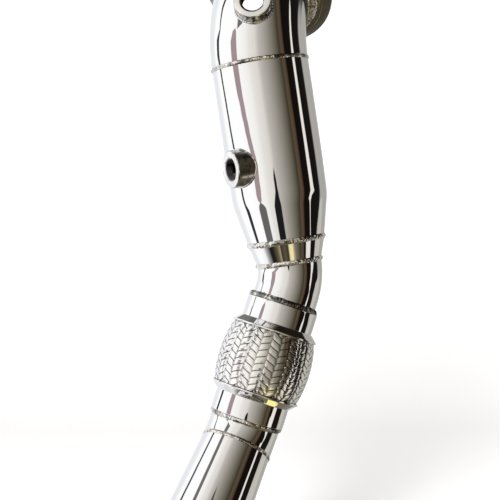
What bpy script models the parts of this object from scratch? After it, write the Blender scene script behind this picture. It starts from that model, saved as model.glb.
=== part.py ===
"""Turbo downpipe in welded stainless steel, with a braided flex coupling.

Units are metres and +Z is up. The origin is the centre of the inlet flange's sealing face. From there the
gas path runs down through straights and bends, and each piece is turned or bent on its own stretch of it.
"""

import math

import bmesh
import bpy
from mathutils import Matrix, Vector

# Running of the pipe, in degrees from straight down: lean is towards +X, forward towards -Y
INLET_LEAN = -19.4
INLET_FORWARD = 36.8
BODY_LEAN = 8.5
BODY_FORWARD = -1.5
FLEX_LEAN = -18.0
FLEX_FORWARD = 3.5
OUTLET_LEAN = -24.0
OUTLET_FORWARD = 22.0

# Clearance between neighbouring pieces
GAP = 0.0003

# Inlet flange: its shoulder and register stand out from the tube, and its rim from the shoulder
FLANGE_SHOULDER_WIDTH = 0.0084
FLANGE_RIM_WIDTH = 0.0065
FLANGE_RIM_THICKNESS = 0.0032
FLANGE_THICKNESS = 0.0072
FLANGE_TUBE_STOP = 0.0036
REGISTER_WIDTH = 0.0069
REGISTER_DEPTH = 0.0012
FLANGE_WELD_LEG = 0.0034

# Inlet elbow
INLET_STRAIGHT = 0.0113
ELBOW_BEND_RADIUS = 0.0762

# Body tube, swaged down to its neck
BODY_RADIUS = 0.0381
BODY_WALL = 0.0016
BODY_STRAIGHT = 0.1065
NECK_RADIUS = 0.03035
NECK_LENGTH = 0.0333
SWAGE_EASE = 0.0060

# Reducer ring and bend tube
REDUCER_LENGTH = 0.0165
BEND_TUBE_RADIUS = 0.0254
BEND_TUBE_WALL = 0.0016
BEND_RADIUS = 0.0520
BEND_TAIL = 0.0100

# Flex coupling
FLEX_LENGTH = 0.0931
SOCKET_DEPTH = 0.0060
INLET_COLLAR_WALL = 0.0029
OUTLET_COLLAR_WALL = 0.0018
COLLAR_SHOWING = 0.0162
COLLAR_TUCK = 0.0055
CAP_SHOULDER_LENGTH = 0.0044
CAP_SHOULDER_RISE = 0.0050
CAP_LIP_LENGTH = 0.0017
CAP_LIP_STEP = 0.0005
CAP_THICKNESS = 0.0009
BRAID_WALL = 0.0016
BRAID_BULGE = 0.0034
BRAID_TUCK = 0.0019
BRAID_COLUMNS = 24
BRAID_ROWS = 8
BRAID_RELIEF = 0.0007
BELLOWS_WALL = 0.0006
BELLOWS_CREST_RISE = 0.0029
BELLOWS_DEPTH = 0.0032
BELLOWS_WAVES = 7
LINER_WALL = 0.0014
LINER_HOOKS = 5
LINER_HOOK_DEPTH = 0.0005

# Link and outlet pipe
LINK_RADIUS = 0.0275
LINK_WALL = 0.0016
LINK_BEND_RADIUS = 0.0690
OUTLET_RADIUS = 0.03175
OUTLET_FLARE_LENGTH = 0.0820
OUTLET_STRAIGHT = 0.0450

# Sensor bungs: angle is measured round the tube from its front, towards -X
BUNG_RADIUS = 0.0145
BUNG_BORE_RADIUS = 0.0087
BUNG_HEIGHT = 0.0076
BUNG_CHAMFER = 0.0008
BUNG_WELD_RADIUS = 0.0018
LOWER_BUNG_DROP = 0.0791
LOWER_BUNG_ANGLE = 48.0
LOWER_BUNG_TILT = 15.5
UPPER_BUNG_RISE = 22.0
UPPER_BUNG_ANGLE = 5.0
UPPER_BUNG_TILT = 0.0

# Girth weld beads
BEAD_WIDTH = 0.0050
BEAD_CROWN = 0.0010
BEAD_RIPPLE = 0.00022
RIPPLE_LOBES = 7

# Facets of the turned and bent pieces
SIDES = 28
ELBOW_STEPS = 8
SHORT_BEND_STEPS = 3
BUNG_SIDES = 24
CUTTER_SIDES = 64
SHARP_ANGLE = math.radians(32.0)
MERGE_DISTANCE = 0.00001

# Finish: colour, roughness, metallic
FINISHES = {
    "polished_stainless": ((0.80, 0.80, 0.81), 0.06, 1.0),
    "machined_stainless": ((0.34, 0.33, 0.32), 0.32, 1.0),
    "weld_metal": ((0.56, 0.54, 0.50), 0.28, 1.0),
    "braid_wire": ((0.66, 0.65, 0.62), 0.30, 1.0),
    "liner_stainless": ((0.46, 0.45, 0.43), 0.38, 1.0),
}

FLANGE_SHOULDER_RADIUS = BODY_RADIUS + FLANGE_SHOULDER_WIDTH
FLANGE_OUTER_RADIUS = FLANGE_SHOULDER_RADIUS + FLANGE_RIM_WIDTH
REGISTER_RADIUS = BODY_RADIUS + REGISTER_WIDTH
INLET_COLLAR_RADIUS = BEND_TUBE_RADIUS + INLET_COLLAR_WALL
OUTLET_COLLAR_RADIUS = LINK_RADIUS + OUTLET_COLLAR_WALL
LINER_RADIUS = BEND_TUBE_RADIUS
LIP_DEPTH = COLLAR_SHOWING + CAP_SHOULDER_LENGTH + CAP_LIP_LENGTH
COLLAR_LENGTH = LIP_DEPTH + COLLAR_TUCK


def clear_scene():
    for obj in list(bpy.data.objects):
        bpy.data.objects.remove(obj, do_unlink=True)


def new_collection(name):
    collection = bpy.data.collections.new(name)
    bpy.context.scene.collection.children.link(collection)
    return collection


def finish_material(name):
    """The Principled material of a finish, made once."""
    if name in bpy.data.materials:
        return bpy.data.materials[name]
    colour, roughness, metallic = FINISHES[name]
    material = bpy.data.materials.new(name)
    material.use_nodes = True
    shader = material.node_tree.nodes["Principled BSDF"]
    shader.inputs["Base Color"].default_value = (*colour, 1.0)
    shader.inputs["Roughness"].default_value = roughness
    shader.inputs["Metallic"].default_value = metallic
    material.diffuse_color = (*colour, 1.0)
    return material


def heading(lean, forward):
    """Unit vector down the pipe for a lean and a forward angle in degrees."""
    across = math.radians(lean)
    near = math.radians(forward)
    return Vector((math.sin(across) * math.cos(near), -math.sin(near), -math.cos(across) * math.cos(near)))


def station(point, direction):
    """Axes at a point of the pipe: Z up the pipe, X to the right as seen from the front."""
    up = -direction
    right = Vector((1.0, 0.0, 0.0))
    side = (right - right.dot(up) * up).normalized()
    matrix = Matrix((side, up.cross(side), up)).transposed().to_4x4()
    matrix.translation = point
    return matrix


def down(start, length):
    """The station a straight length further down the pipe."""
    return start @ Matrix.Translation((0.0, 0.0, -length))


class Bend:
    """A bend that leaves a station along its axis and ends on a new heading."""

    def __init__(self, start, direction, radius):
        aim = start.to_3x3().inverted() @ direction
        sideways = Vector((aim.x, aim.y, 0.0))
        self.radius = radius
        self.angle = math.atan2(sideways.length, -aim.z)
        self.toward = sideways.normalized()
        self.centre = self.toward * radius
        self.axis = Vector((0.0, 0.0, -1.0)).cross(self.toward)
        self.end = station((start @ self.turn(self.angle)).translation, direction)

    def turn(self, angle):
        """Movement, in the start station's axes, that carries the start round by an angle."""
        spin = Matrix.Rotation(angle, 4, self.axis)
        return Matrix.Translation(self.centre) @ spin @ Matrix.Translation(-self.centre)

    def off_centre_line(self, point):
        """Distance of a point, in the start station's axes, from the bend's centre line."""
        arm = point - self.centre
        out_of_plane = arm.dot(self.axis)
        in_plane = (arm - out_of_plane * self.axis).length - self.radius
        return math.hypot(in_plane, out_of_plane)


def off_straight_line(point):
    """Distance of a point from the Z axis of its station."""
    return math.hypot(point.x, point.y)


class Route:
    """The stations of the pipe from the sealing face down to the outlet."""

    def __init__(self):
        self.inlet = station(Vector((0.0, 0.0, 0.0)), heading(INLET_LEAN, INLET_FORWARD))
        self.elbow_top = down(self.inlet, INLET_STRAIGHT)
        self.elbow = Bend(self.elbow_top, heading(BODY_LEAN, BODY_FORWARD), ELBOW_BEND_RADIUS)
        self.body_top = down(self.elbow.end, GAP)
        self.reducer_top = down(self.body_top, BODY_STRAIGHT + NECK_LENGTH + GAP)
        self.bend_top = down(self.reducer_top, REDUCER_LENGTH + GAP)
        self.bend = Bend(self.bend_top, heading(FLEX_LEAN, FLEX_FORWARD), BEND_RADIUS)
        self.flex_top = down(self.bend.end, BEND_TAIL)
        self.link_top = down(self.flex_top, FLEX_LENGTH)
        self.link = Bend(self.link_top, heading(OUTLET_LEAN, OUTLET_FORWARD), LINK_BEND_RADIUS)
        self.outlet_top = down(self.link.end, GAP)


def new_empty(name, matrix, collection, parent=None):
    """An empty that carries the pieces of one stretch; its matrix is in its parent's axes."""
    empty = bpy.data.objects.new(name, None)
    empty.empty_display_size = 0.02
    empty.parent = parent
    empty.matrix_local = matrix
    collection.objects.link(empty)
    return empty


def new_object(name, mesh, collection, parent, finish=None):
    obj = bpy.data.objects.new(name, mesh)
    obj.parent = parent
    collection.objects.link(obj)
    if finish:
        mesh.materials.append(finish_material(finish))
    return obj


def new_cutter(name, mesh, collection, parent):
    cutter = new_object(name, mesh, collection, parent)
    cutter.hide_render = True
    cutter.display_type = "WIRE"
    return cutter


def cut(obj, cutter):
    boolean = obj.modifiers.new("cut_" + cutter.name, "BOOLEAN")
    boolean.operation = "DIFFERENCE"
    boolean.solver = "EXACT"
    boolean.object = cutter


def turned(name, profile, collection, parent, finish, sides=SIDES):
    """A closed profile of (radius, height), down its outer side and up its inner, turned round Z."""
    mesh = bpy.data.meshes.new(name)
    edges = [(i, (i + 1) % len(profile)) for i in range(len(profile))]
    mesh.from_pydata([(radius, 0.0, height) for radius, height in profile], edges, [])
    obj = new_object(name, mesh, collection, parent, finish)
    screw = obj.modifiers.new("turn", "SCREW")
    screw.axis = "Z"
    screw.steps = sides
    screw.render_steps = sides
    screw.use_merge_vertices = True
    screw.merge_threshold = MERGE_DISTANCE
    screw.use_smooth_shade = True
    return obj


def eased(before, corner, after, reach, steps=3):
    """Points of a soft turn that replaces a profile's corner, starting and ending at a reach from it."""
    here = Vector(corner)
    to_before = Vector(before) - here
    to_after = Vector(after) - here
    start = here + to_before.normalized() * min(reach, to_before.length / 2.0)
    end = here + to_after.normalized() * min(reach, to_after.length / 2.0)
    points = []
    for step in range(steps + 1):
        t = step / steps
        point = start * (1.0 - t) ** 2 + here * 2.0 * t * (1.0 - t) + end * t**2
        points.append((point.x, point.y))
    return points


def upside_down(profile, length):
    """The same profile for the other end of a piece of this length."""
    return [(radius, -length - height) for radius, height in reversed(profile)]


def tube_skin(bm, radius, lead, bend, tail, steps, sides):
    """Open skin of a bent tube: a straight lead, the bend and a straight tail, in the bend's start axes."""
    place = Matrix.Translation((0.0, 0.0, lead))
    ring = bmesh.ops.create_circle(bm, radius=radius, segments=sides, matrix=place)
    edges = list({edge for vert in ring["verts"] for edge in vert.link_edges})
    if lead > 0.0:
        edges = drawn_out(bm, edges, Vector((0.0, 0.0, -lead)))
    geometry = edges + list({vert for edge in edges for vert in edge.verts})
    arc = bmesh.ops.spin(bm, geom=geometry, cent=bend.centre, axis=bend.axis, angle=bend.angle, steps=steps)
    if tail > 0.0:
        last = [item for item in arc["geom_last"] if isinstance(item, bmesh.types.BMEdge)]
        drawn_out(bm, last, bend.turn(bend.angle).to_3x3() @ Vector((0.0, 0.0, -tail)))
    bmesh.ops.recalc_face_normals(bm, faces=bm.faces)


def drawn_out(bm, edges, move):
    """Extrudes a ring of edges by a vector and returns the new ring."""
    made = bmesh.ops.extrude_edge_only(bm, edges=edges)["geom"]
    bmesh.ops.translate(bm, verts=[item for item in made if isinstance(item, bmesh.types.BMVert)], vec=move)
    return [item for item in made if isinstance(item, bmesh.types.BMEdge)]


def face_outwards(bm, bend):
    """Turns an open skin's faces away from the tube's centre line."""
    face = min(bm.faces, key=lambda item: abs(item.calc_center_median().z))
    middle = face.calc_center_median()
    step = face.normal * 0.001
    if bend.off_centre_line(middle + step) < bend.off_centre_line(middle):
        bmesh.ops.reverse_faces(bm, faces=bm.faces)


def bent_tube(name, radius, wall, lead, bend, tail, steps, collection, parent, finish):
    bm = bmesh.new()
    tube_skin(bm, radius, lead, bend, tail, steps, SIDES)
    face_outwards(bm, bend)
    mesh = bpy.data.meshes.new(name)
    bm.to_mesh(mesh)
    bm.free()
    obj = new_object(name, mesh, collection, parent, finish)
    shell = obj.modifiers.new("wall", "SOLIDIFY")
    shell.thickness = wall
    shell.offset = -1.0
    shell.use_even_offset = True
    return obj


def bent_cutter(name, radius, lead, bend, tail, steps, collection, parent):
    """A solid bent bar, to cope a piece that sits on a bend."""
    bm = bmesh.new()
    tube_skin(bm, radius, lead, bend, tail, steps, CUTTER_SIDES)
    bmesh.ops.holes_fill(bm, edges=bm.edges, sides=0)
    bmesh.ops.recalc_face_normals(bm, faces=bm.faces)
    mesh = bpy.data.meshes.new(name)
    bm.to_mesh(mesh)
    bm.free()
    return new_cutter(name, mesh, collection, parent)


def round_cutter(name, radius, low, high, collection, parent, sides=CUTTER_SIDES):
    """A solid cylinder on its parent's Z axis from one height to another."""
    bm = bmesh.new()
    place = Matrix.Translation((0.0, 0.0, (low + high) / 2.0))
    bmesh.ops.create_cone(
        bm, cap_ends=True, segments=sides, radius1=radius, radius2=radius, depth=high - low, matrix=place
    )
    mesh = bpy.data.meshes.new(name)
    bm.to_mesh(mesh)
    bm.free()
    return new_cutter(name, mesh, collection, parent)


def crown_ripple(angle, phase):
    """How far a hand-laid bead swells or thins at an angle round its joint."""
    slow = math.sin(RIPPLE_LOBES * angle + phase)
    quick = math.sin((2 * RIPPLE_LOBES - 2) * angle + 2.0 * phase)
    return BEAD_RIPPLE * (slow + quick) / 2.0


def turn_section(bm, verts, steps):
    """Closes a section's vertices into a loop and turns it round Z into a ring."""
    edges = [bm.edges.new((verts[i], verts[(i + 1) % len(verts)])) for i in range(len(verts))]
    bmesh.ops.spin(
        bm, geom=verts + edges, cent=(0, 0, 0), axis=(0, 0, 1), angle=math.tau, steps=steps, use_merge=True
    )
    bmesh.ops.remove_doubles(bm, verts=bm.verts, dist=MERGE_DISTANCE)


def weld_bead(name, section, collection, parent, phase):
    """A bead laid round Z. Its section lists (radius, height, share), and share lets the crown swell."""
    bm = bmesh.new()
    crown = bm.verts.layers.float.new("crown")
    verts = []
    for radius, height, share in section:
        vert = bm.verts.new((radius, 0.0, height))
        vert[crown] = share
        verts.append(vert)
    turn_section(bm, verts, SIDES)
    for vert in bm.verts:
        angle = math.atan2(vert.co.y, vert.co.x)
        swell = vert[crown] * crown_ripple(angle, phase)
        vert.co += Vector((math.cos(angle), math.sin(angle), 0.0)) * swell
    bmesh.ops.recalc_face_normals(bm, faces=bm.faces)
    mesh = bpy.data.meshes.new(name)
    bm.to_mesh(mesh)
    bm.free()
    return new_object(name, mesh, collection, parent, "weld_metal")


def girth_section(radius, rise_above, rise_below, middle):
    """A low crowned bead over a butt joint, at its middle height.

    Each rise is how much the tube on that side widens for each metre away from the joint.
    """
    half = BEAD_WIDTH / 2.0
    seat = radius + GAP
    upper = seat + rise_above * half
    lower = seat + rise_below * half
    crown = seat + BEAD_CROWN
    return [
        (upper, middle + half, 0.0),
        ((upper + crown) / 2.0 + BEAD_CROWN * 0.3, middle + half * 0.5, 0.7),
        (crown, middle, 1.0),
        ((lower + crown) / 2.0 + BEAD_CROWN * 0.3, middle - half * 0.5, 0.7),
        (lower, middle - half, 0.0),
        (seat, middle, 0.0),
    ]


def fillet_section(tube_radius, step_radius, face_height, leg, towards):
    """A fillet bead in the corner between a tube and the end face of a wider ring."""
    seat = tube_radius + GAP
    face = face_height + towards * GAP
    reach = min(step_radius - seat, leg)
    return [
        (seat, face, 0.0),
        (seat + reach, face, 0.0),
        (seat + reach * 0.80, face + towards * leg * 0.50, 1.0),
        (seat + reach * 0.40, face + towards * leg * 0.88, 1.0),
        (seat, face + towards * leg, 0.0),
    ]


def make_inlet_flange(parts, parent):
    """Clamp flange: flat sealing face with a register, conical back and a counterbore for the tube."""
    bore = BODY_RADIUS - BODY_WALL
    counterbore = BODY_RADIUS + GAP
    rim_back = -FLANGE_RIM_THICKNESS
    back = -FLANGE_THICKNESS
    bevel = FLANGE_RIM_THICKNESS * 0.15
    profile = [
        (REGISTER_RADIUS, -REGISTER_DEPTH),
        (REGISTER_RADIUS, 0.0),
        (FLANGE_OUTER_RADIUS - bevel, 0.0),
        (FLANGE_OUTER_RADIUS, -bevel),
        (FLANGE_OUTER_RADIUS, rim_back + bevel),
        (FLANGE_OUTER_RADIUS - bevel, rim_back),
        (FLANGE_SHOULDER_RADIUS, back),
        (counterbore, back),
        (counterbore, -FLANGE_TUBE_STOP),
        (bore, -FLANGE_TUBE_STOP),
        (bore, -REGISTER_DEPTH),
    ]
    turned("inlet_flange", profile, parts, parent, "machined_stainless")
    section = fillet_section(BODY_RADIUS, FLANGE_SHOULDER_RADIUS, back, FLANGE_WELD_LEG, -1.0)
    weld_bead("inlet_flange_weld", section, parts, parent, 0.4)


def make_inlet_elbow(parts, parent, bend):
    lead = INLET_STRAIGHT - FLANGE_TUBE_STOP - GAP
    return bent_tube(
        "inlet_elbow", BODY_RADIUS, BODY_WALL, lead, bend, 0.0, ELBOW_STEPS, parts, parent,
        "polished_stainless",
    )


def make_body_tube(parts, parent):
    """Straight tube swaged to a neck, with a soft turn where the taper starts."""
    start = (BODY_RADIUS, 0.0)
    corner = (BODY_RADIUS, -BODY_STRAIGHT)
    neck = (NECK_RADIUS, -BODY_STRAIGHT - NECK_LENGTH)
    outer = [start, *eased(start, corner, neck, SWAGE_EASE), neck]
    inner = [(radius - BODY_WALL, height) for radius, height in reversed(outer)]
    return turned("body_tube", outer + inner, parts, parent, "polished_stainless")


def make_reducer(parts, parent):
    length = -REDUCER_LENGTH
    profile = [
        (NECK_RADIUS, 0.0),
        (BEND_TUBE_RADIUS, length),
        (BEND_TUBE_RADIUS - BEND_TUBE_WALL, length),
        (NECK_RADIUS - BEND_TUBE_WALL, 0.0),
    ]
    turned("reducer_ring", profile, parts, parent, "polished_stainless")


def make_bend_tube(parts, parent, bend):
    bent_tube(
        "bend_tube", BEND_TUBE_RADIUS, BEND_TUBE_WALL, 0.0, bend, BEND_TAIL + SOCKET_DEPTH,
        SHORT_BEND_STEPS, parts, parent, "polished_stainless",
    )


def collar_profile(outer_radius, tube_radius):
    bore = tube_radius + GAP
    bevel = (outer_radius - bore) * 0.25
    return [
        (outer_radius - bevel, 0.0),
        (outer_radius, -bevel),
        (outer_radius, -COLLAR_LENGTH),
        (bore, -COLLAR_LENGTH),
        (bore, 0.0),
    ]


def cap_seat(collar_radius):
    """Radius and height of the inner edge of a cap's shoulder, where it grips the collar."""
    return collar_radius + GAP, -COLLAR_SHOWING - CAP_THICKNESS


def cap_inside(collar_radius, height):
    """Inner radius of a cap's conical shoulder at a height."""
    radius, top = cap_seat(collar_radius)
    rise = CAP_SHOULDER_RISE + CAP_LIP_STEP - CAP_THICKNESS
    return radius + (top - height) * rise / CAP_SHOULDER_LENGTH


def cap_profile(collar_radius):
    """Pressed cap: a conical shoulder off the collar that ends in a rolled lip round the braid."""
    seat, seat_height = cap_seat(collar_radius)
    shoulder_end = -COLLAR_SHOWING - CAP_SHOULDER_LENGTH
    wide = seat + CAP_SHOULDER_RISE
    lip = wide + CAP_LIP_STEP
    lip_end = -LIP_DEPTH
    roll = CAP_LIP_LENGTH * 0.3
    return [
        (seat, -COLLAR_SHOWING),
        (seat + CAP_THICKNESS * 0.5, -COLLAR_SHOWING),
        (wide, shoulder_end),
        (lip, shoulder_end - roll),
        (lip, lip_end + roll * 0.6),
        (lip - CAP_THICKNESS * 0.5, lip_end),
        (lip - CAP_THICKNESS, lip_end + roll * 0.6),
        (lip - CAP_THICKNESS, shoulder_end - CAP_THICKNESS),
        (seat, seat_height),
    ]


def braid_radius(share):
    """Outer radius of the braid at a share of the way from the inlet lip to the outlet lip."""
    inlet = INLET_COLLAR_RADIUS + GAP + CAP_SHOULDER_RISE - CAP_THICKNESS
    outlet = OUTLET_COLLAR_RADIUS + GAP + CAP_SHOULDER_RISE - CAP_THICKNESS
    barrel = 1.0 - abs(2.0 * share - 1.0) ** 2.2
    return inlet + (outlet - inlet) * share + BRAID_BULGE * barrel


def make_braid(parts, parent):
    """Herringbone braid: columns of strips that lean one way, then the other, as ridges in one wall.

    The outer skin is a grid whose lines follow the strips. It has two lines to a strip, its crest and the
    groove beside it, and two to a column, its middle and the fold where the strip dives under the next.
    """
    length = FLEX_LENGTH - 2.0 * LIP_DEPTH
    pitch = length / BRAID_ROWS
    lines = 2 * BRAID_ROWS
    top = -LIP_DEPTH + BRAID_TUCK
    bottom = -FLEX_LENGTH + LIP_DEPTH - BRAID_TUCK
    top_radius = cap_inside(INLET_COLLAR_RADIUS, top) - GAP
    bottom_radius = cap_inside(OUTLET_COLLAR_RADIUS, -FLEX_LENGTH - bottom) - GAP
    inner_lines = 7
    outer = [(top_radius, top)]
    for line in range(lines + 1):
        share = line / lines
        outer.append((braid_radius(share), -LIP_DEPTH - length * share))
    outer.append((bottom_radius, bottom))
    inner = [(bottom_radius - BRAID_WALL, bottom)]
    for line in range(inner_lines):
        share = 1.0 - (line + 0.5) / inner_lines
        inner.append((braid_radius(share) - BRAID_WALL, -LIP_DEPTH - length * share))
    inner.append((top_radius - BRAID_WALL, top))

    bm = bmesh.new()
    line_number = bm.verts.layers.int.new("line")
    verts = []
    for number, (radius, height) in enumerate(outer + inner):
        vert = bm.verts.new((radius, 0.0, height))
        inside_ends = 2 <= number <= lines
        vert[line_number] = number if inside_ends else 0
        verts.append(vert)
    steps = 2 * BRAID_COLUMNS
    turn_section(bm, verts, steps)
    for vert in bm.verts:
        if not vert[line_number]:
            continue
        angle = math.atan2(vert.co.y, vert.co.x)
        half_column = round(angle * steps / math.tau) % 4
        zigzag = (0.0, 0.5, 1.0, 0.5)[half_column]
        near_end = min(vert[line_number] - 1, lines + 1 - vert[line_number]) / 2.0
        vert.co.z += (zigzag - 0.5) * pitch * min(1.0, near_end)
        is_groove = vert[line_number] % 2
        at_fold = half_column % 2 == 0
        sink = BRAID_RELIEF * (1.0 if is_groove else (0.45 if at_fold else 0.0))
        vert.co -= Vector((math.cos(angle), math.sin(angle), 0.0)) * sink
    bmesh.ops.triangulate(bm, faces=bm.faces)
    bmesh.ops.recalc_face_normals(bm, faces=bm.faces)
    mesh = bpy.data.meshes.new("flex_braid")
    bm.to_mesh(mesh)
    bm.free()
    new_object("flex_braid", mesh, parts, parent, "braid_wire")


def make_bellows(parts, parent):
    """Corrugated tube whose cuffs slip over the collars' inner ends."""
    inlet_cuff = INLET_COLLAR_RADIUS + GAP + BELLOWS_WALL
    outlet_cuff = OUTLET_COLLAR_RADIUS + GAP + BELLOWS_WALL
    cuff_start = COLLAR_SHOWING + CAP_THICKNESS + 2.0 * GAP + BELLOWS_WALL * 1.5
    waves_start = COLLAR_LENGTH + GAP
    waves_length = FLEX_LENGTH - 2.0 * waves_start
    wave = waves_length / BELLOWS_WAVES
    crest = INLET_COLLAR_RADIUS + BELLOWS_CREST_RISE
    root = crest - BELLOWS_DEPTH
    outer = [(inlet_cuff, -cuff_start), (inlet_cuff, -waves_start + GAP)]
    for number in range(BELLOWS_WAVES):
        left = waves_start + number * wave
        outer.append((crest, -left - wave * 0.45))
        if number < BELLOWS_WAVES - 1:
            outer.append((root, -left - wave * 0.92))
    outer.append((outlet_cuff, -FLEX_LENGTH + waves_start - GAP))
    outer.append((outlet_cuff, -FLEX_LENGTH + cuff_start))
    inner = [(radius - BELLOWS_WALL, height) for radius, height in reversed(outer)]
    turned("flex_bellows", outer + inner, parts, parent, "liner_stainless")


def make_liner(parts, parent):
    """Strip-wound liner: hooked outside, smooth inside, with a wider cuff at the outlet."""
    start = SOCKET_DEPTH + GAP
    inner = LINER_RADIUS - LINER_WALL
    hooks_start = COLLAR_LENGTH
    hooks_length = FLEX_LENGTH - 2.0 * COLLAR_LENGTH
    hook = hooks_length / LINER_HOOKS
    low = LINER_RADIUS - LINER_HOOK_DEPTH
    profile = [(LINER_RADIUS, -start)]
    for number in range(LINER_HOOKS):
        top = hooks_start + number * hook
        profile.append((LINER_RADIUS, -top))
        profile.append((low, -top - hook * 0.08))
        profile.append((low, -top - hook * 0.40))
    profile.append((LINER_RADIUS, -FLEX_LENGTH + COLLAR_LENGTH))
    profile.append((LINK_RADIUS, -FLEX_LENGTH + COLLAR_LENGTH - COLLAR_TUCK))
    profile.append((LINK_RADIUS, -FLEX_LENGTH + start))
    profile.append((LINK_RADIUS - LINER_WALL, -FLEX_LENGTH + start))
    profile.append((LINK_RADIUS - LINER_WALL, -FLEX_LENGTH + COLLAR_LENGTH - COLLAR_TUCK))
    profile.append((inner, -FLEX_LENGTH + COLLAR_LENGTH))
    profile.append((inner, -start))
    turned("flex_liner", profile, parts, parent, "liner_stainless")


def make_flex(parts, parent):
    inlet_collar = collar_profile(INLET_COLLAR_RADIUS, BEND_TUBE_RADIUS)
    outlet_collar = upside_down(collar_profile(OUTLET_COLLAR_RADIUS, LINK_RADIUS), FLEX_LENGTH)
    turned("flex_inlet_collar", inlet_collar, parts, parent, "polished_stainless")
    turned("flex_outlet_collar", outlet_collar, parts, parent, "polished_stainless")
    turned("flex_inlet_cap", cap_profile(INLET_COLLAR_RADIUS), parts, parent, "polished_stainless")
    outlet_cap = upside_down(cap_profile(OUTLET_COLLAR_RADIUS), FLEX_LENGTH)
    turned("flex_outlet_cap", outlet_cap, parts, parent, "polished_stainless")
    make_braid(parts, parent)
    make_bellows(parts, parent)
    make_liner(parts, parent)
    leg = BEAD_WIDTH * 0.7
    top = fillet_section(BEND_TUBE_RADIUS, INLET_COLLAR_RADIUS, 0.0, leg, 1.0)
    weld_bead("flex_inlet_weld", top, parts, parent, 2.1)
    bottom = fillet_section(LINK_RADIUS, OUTLET_COLLAR_RADIUS, -FLEX_LENGTH, leg, -1.0)
    weld_bead("flex_outlet_weld", bottom, parts, parent, 3.7)


def make_outlet(parts, link_top, outlet_top, bend):
    bent_tube(
        "outlet_link", LINK_RADIUS, LINK_WALL, SOCKET_DEPTH, bend, 0.0, SHORT_BEND_STEPS, parts, link_top,
        "polished_stainless",
    )
    end = -OUTLET_FLARE_LENGTH - OUTLET_STRAIGHT
    outer = [(LINK_RADIUS, 0.0), (OUTLET_RADIUS, -OUTLET_FLARE_LENGTH), (OUTLET_RADIUS, end)]
    inner = [(radius - LINK_WALL, height) for radius, height in reversed(outer)]
    turned("outlet_pipe", outer + inner, parts, outlet_top, "polished_stainless")


def bung_frame(base_radius, angle, tilt):
    """Axes of a bung on a tube, in the tube's station: Z out along its bore, X up the tube."""
    round_tube = math.radians(angle)
    aim = math.radians(angle + tilt)
    axis = Vector((-math.sin(aim), -math.cos(aim), 0.0))
    along = Vector((0.0, 0.0, 1.0))
    matrix = Matrix((along, axis.cross(along), axis)).transposed().to_4x4()
    matrix.translation = Vector((-math.sin(round_tube), -math.cos(round_tube), 0.0)) * base_radius
    return matrix


def saddle(frame, ring_radius, tube_radius, off_centre_line):
    """Closed line on a tube's surface that lies a ring radius from a bung's axis, in the tube's axes."""
    axis = frame.to_3x3() @ Vector((0.0, 0.0, 1.0))
    points = []
    for side in range(BUNG_SIDES):
        angle = math.tau * side / BUNG_SIDES
        point = frame @ Vector((ring_radius * math.cos(angle), ring_radius * math.sin(angle), 0.0))
        for _ in range(30):
            point = point - axis * (off_centre_line(point) - tube_radius)
        points.append(point)
    return points


def bead_on_line(name, points, radius, collection, parent):
    """A round bead along a closed line, as a mesh."""
    curve = bpy.data.curves.new(name, "CURVE")
    curve.dimensions = "3D"
    curve.bevel_depth = radius
    curve.bevel_resolution = 2
    spline = curve.splines.new("POLY")
    spline.points.add(len(points) - 1)
    for spot, point in zip(spline.points, points):
        spot.co = (*point, 1.0)
    spline.use_cyclic_u = True
    guide = bpy.data.objects.new(name + "_line", curve)
    collection.objects.link(guide)
    graph = bpy.context.evaluated_depsgraph_get()
    mesh = bpy.data.meshes.new_from_object(guide.evaluated_get(graph))
    bpy.data.objects.remove(guide, do_unlink=True)
    bm = bmesh.new()
    bm.from_mesh(mesh)
    bmesh.ops.remove_doubles(bm, verts=bm.verts, dist=MERGE_DISTANCE)
    bmesh.ops.recalc_face_normals(bm, faces=bm.faces)
    bm.to_mesh(mesh)
    bm.free()
    mesh.name = name
    return new_object(name, mesh, collection, parent, "weld_metal")


def make_bung(name, parts, cutters, carrier, tube, tube_cutter, frame, off_centre_line):
    """A bored boss coped to its tube, the hole under it and the bead round its foot."""
    mount = new_empty(name + "_axis", frame, parts, carrier)
    foot = -BUNG_RADIUS
    profile = [
        (BUNG_BORE_RADIUS + BUNG_CHAMFER, BUNG_HEIGHT),
        (BUNG_RADIUS - BUNG_CHAMFER, BUNG_HEIGHT),
        (BUNG_RADIUS, BUNG_HEIGHT - BUNG_CHAMFER),
        (BUNG_RADIUS, foot),
        (BUNG_BORE_RADIUS, foot),
        (BUNG_BORE_RADIUS, BUNG_HEIGHT - BUNG_CHAMFER),
    ]
    bung = turned(name + "_bung", profile, parts, mount, "machined_stainless", BUNG_SIDES)
    cut(bung, tube_cutter)
    bore = round_cutter(
        name + "_bore_cutter", BUNG_BORE_RADIUS, foot, BUNG_RADIUS, cutters, mount, BUNG_SIDES
    )
    cut(tube, bore)
    line = saddle(frame, BUNG_RADIUS + BUNG_WELD_RADIUS * 0.4, BODY_RADIUS, off_centre_line)
    bead = bead_on_line(name.replace("_sensor", "_bung") + "_weld", line, BUNG_WELD_RADIUS, parts, carrier)
    cut(bead, tube_cutter)
    shank = round_cutter(
        name + "_shank_cutter", BUNG_RADIUS + GAP, foot, 2.0 * BUNG_RADIUS, cutters, mount, BUNG_SIDES
    )
    cut(bead, shank)


def settle(collection):
    """Applies the modifiers and shades the round faces smooth."""
    graph = bpy.context.evaluated_depsgraph_get()
    meshes = {
        obj: bpy.data.meshes.new_from_object(obj.evaluated_get(graph))
        for obj in collection.objects
        if obj.type == "MESH"
    }
    for obj, mesh in meshes.items():
        obj.modifiers.clear()
        obj.data = mesh
        mesh.shade_smooth()
        mesh.set_sharp_from_angle(angle=SHARP_ANGLE)


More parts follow.
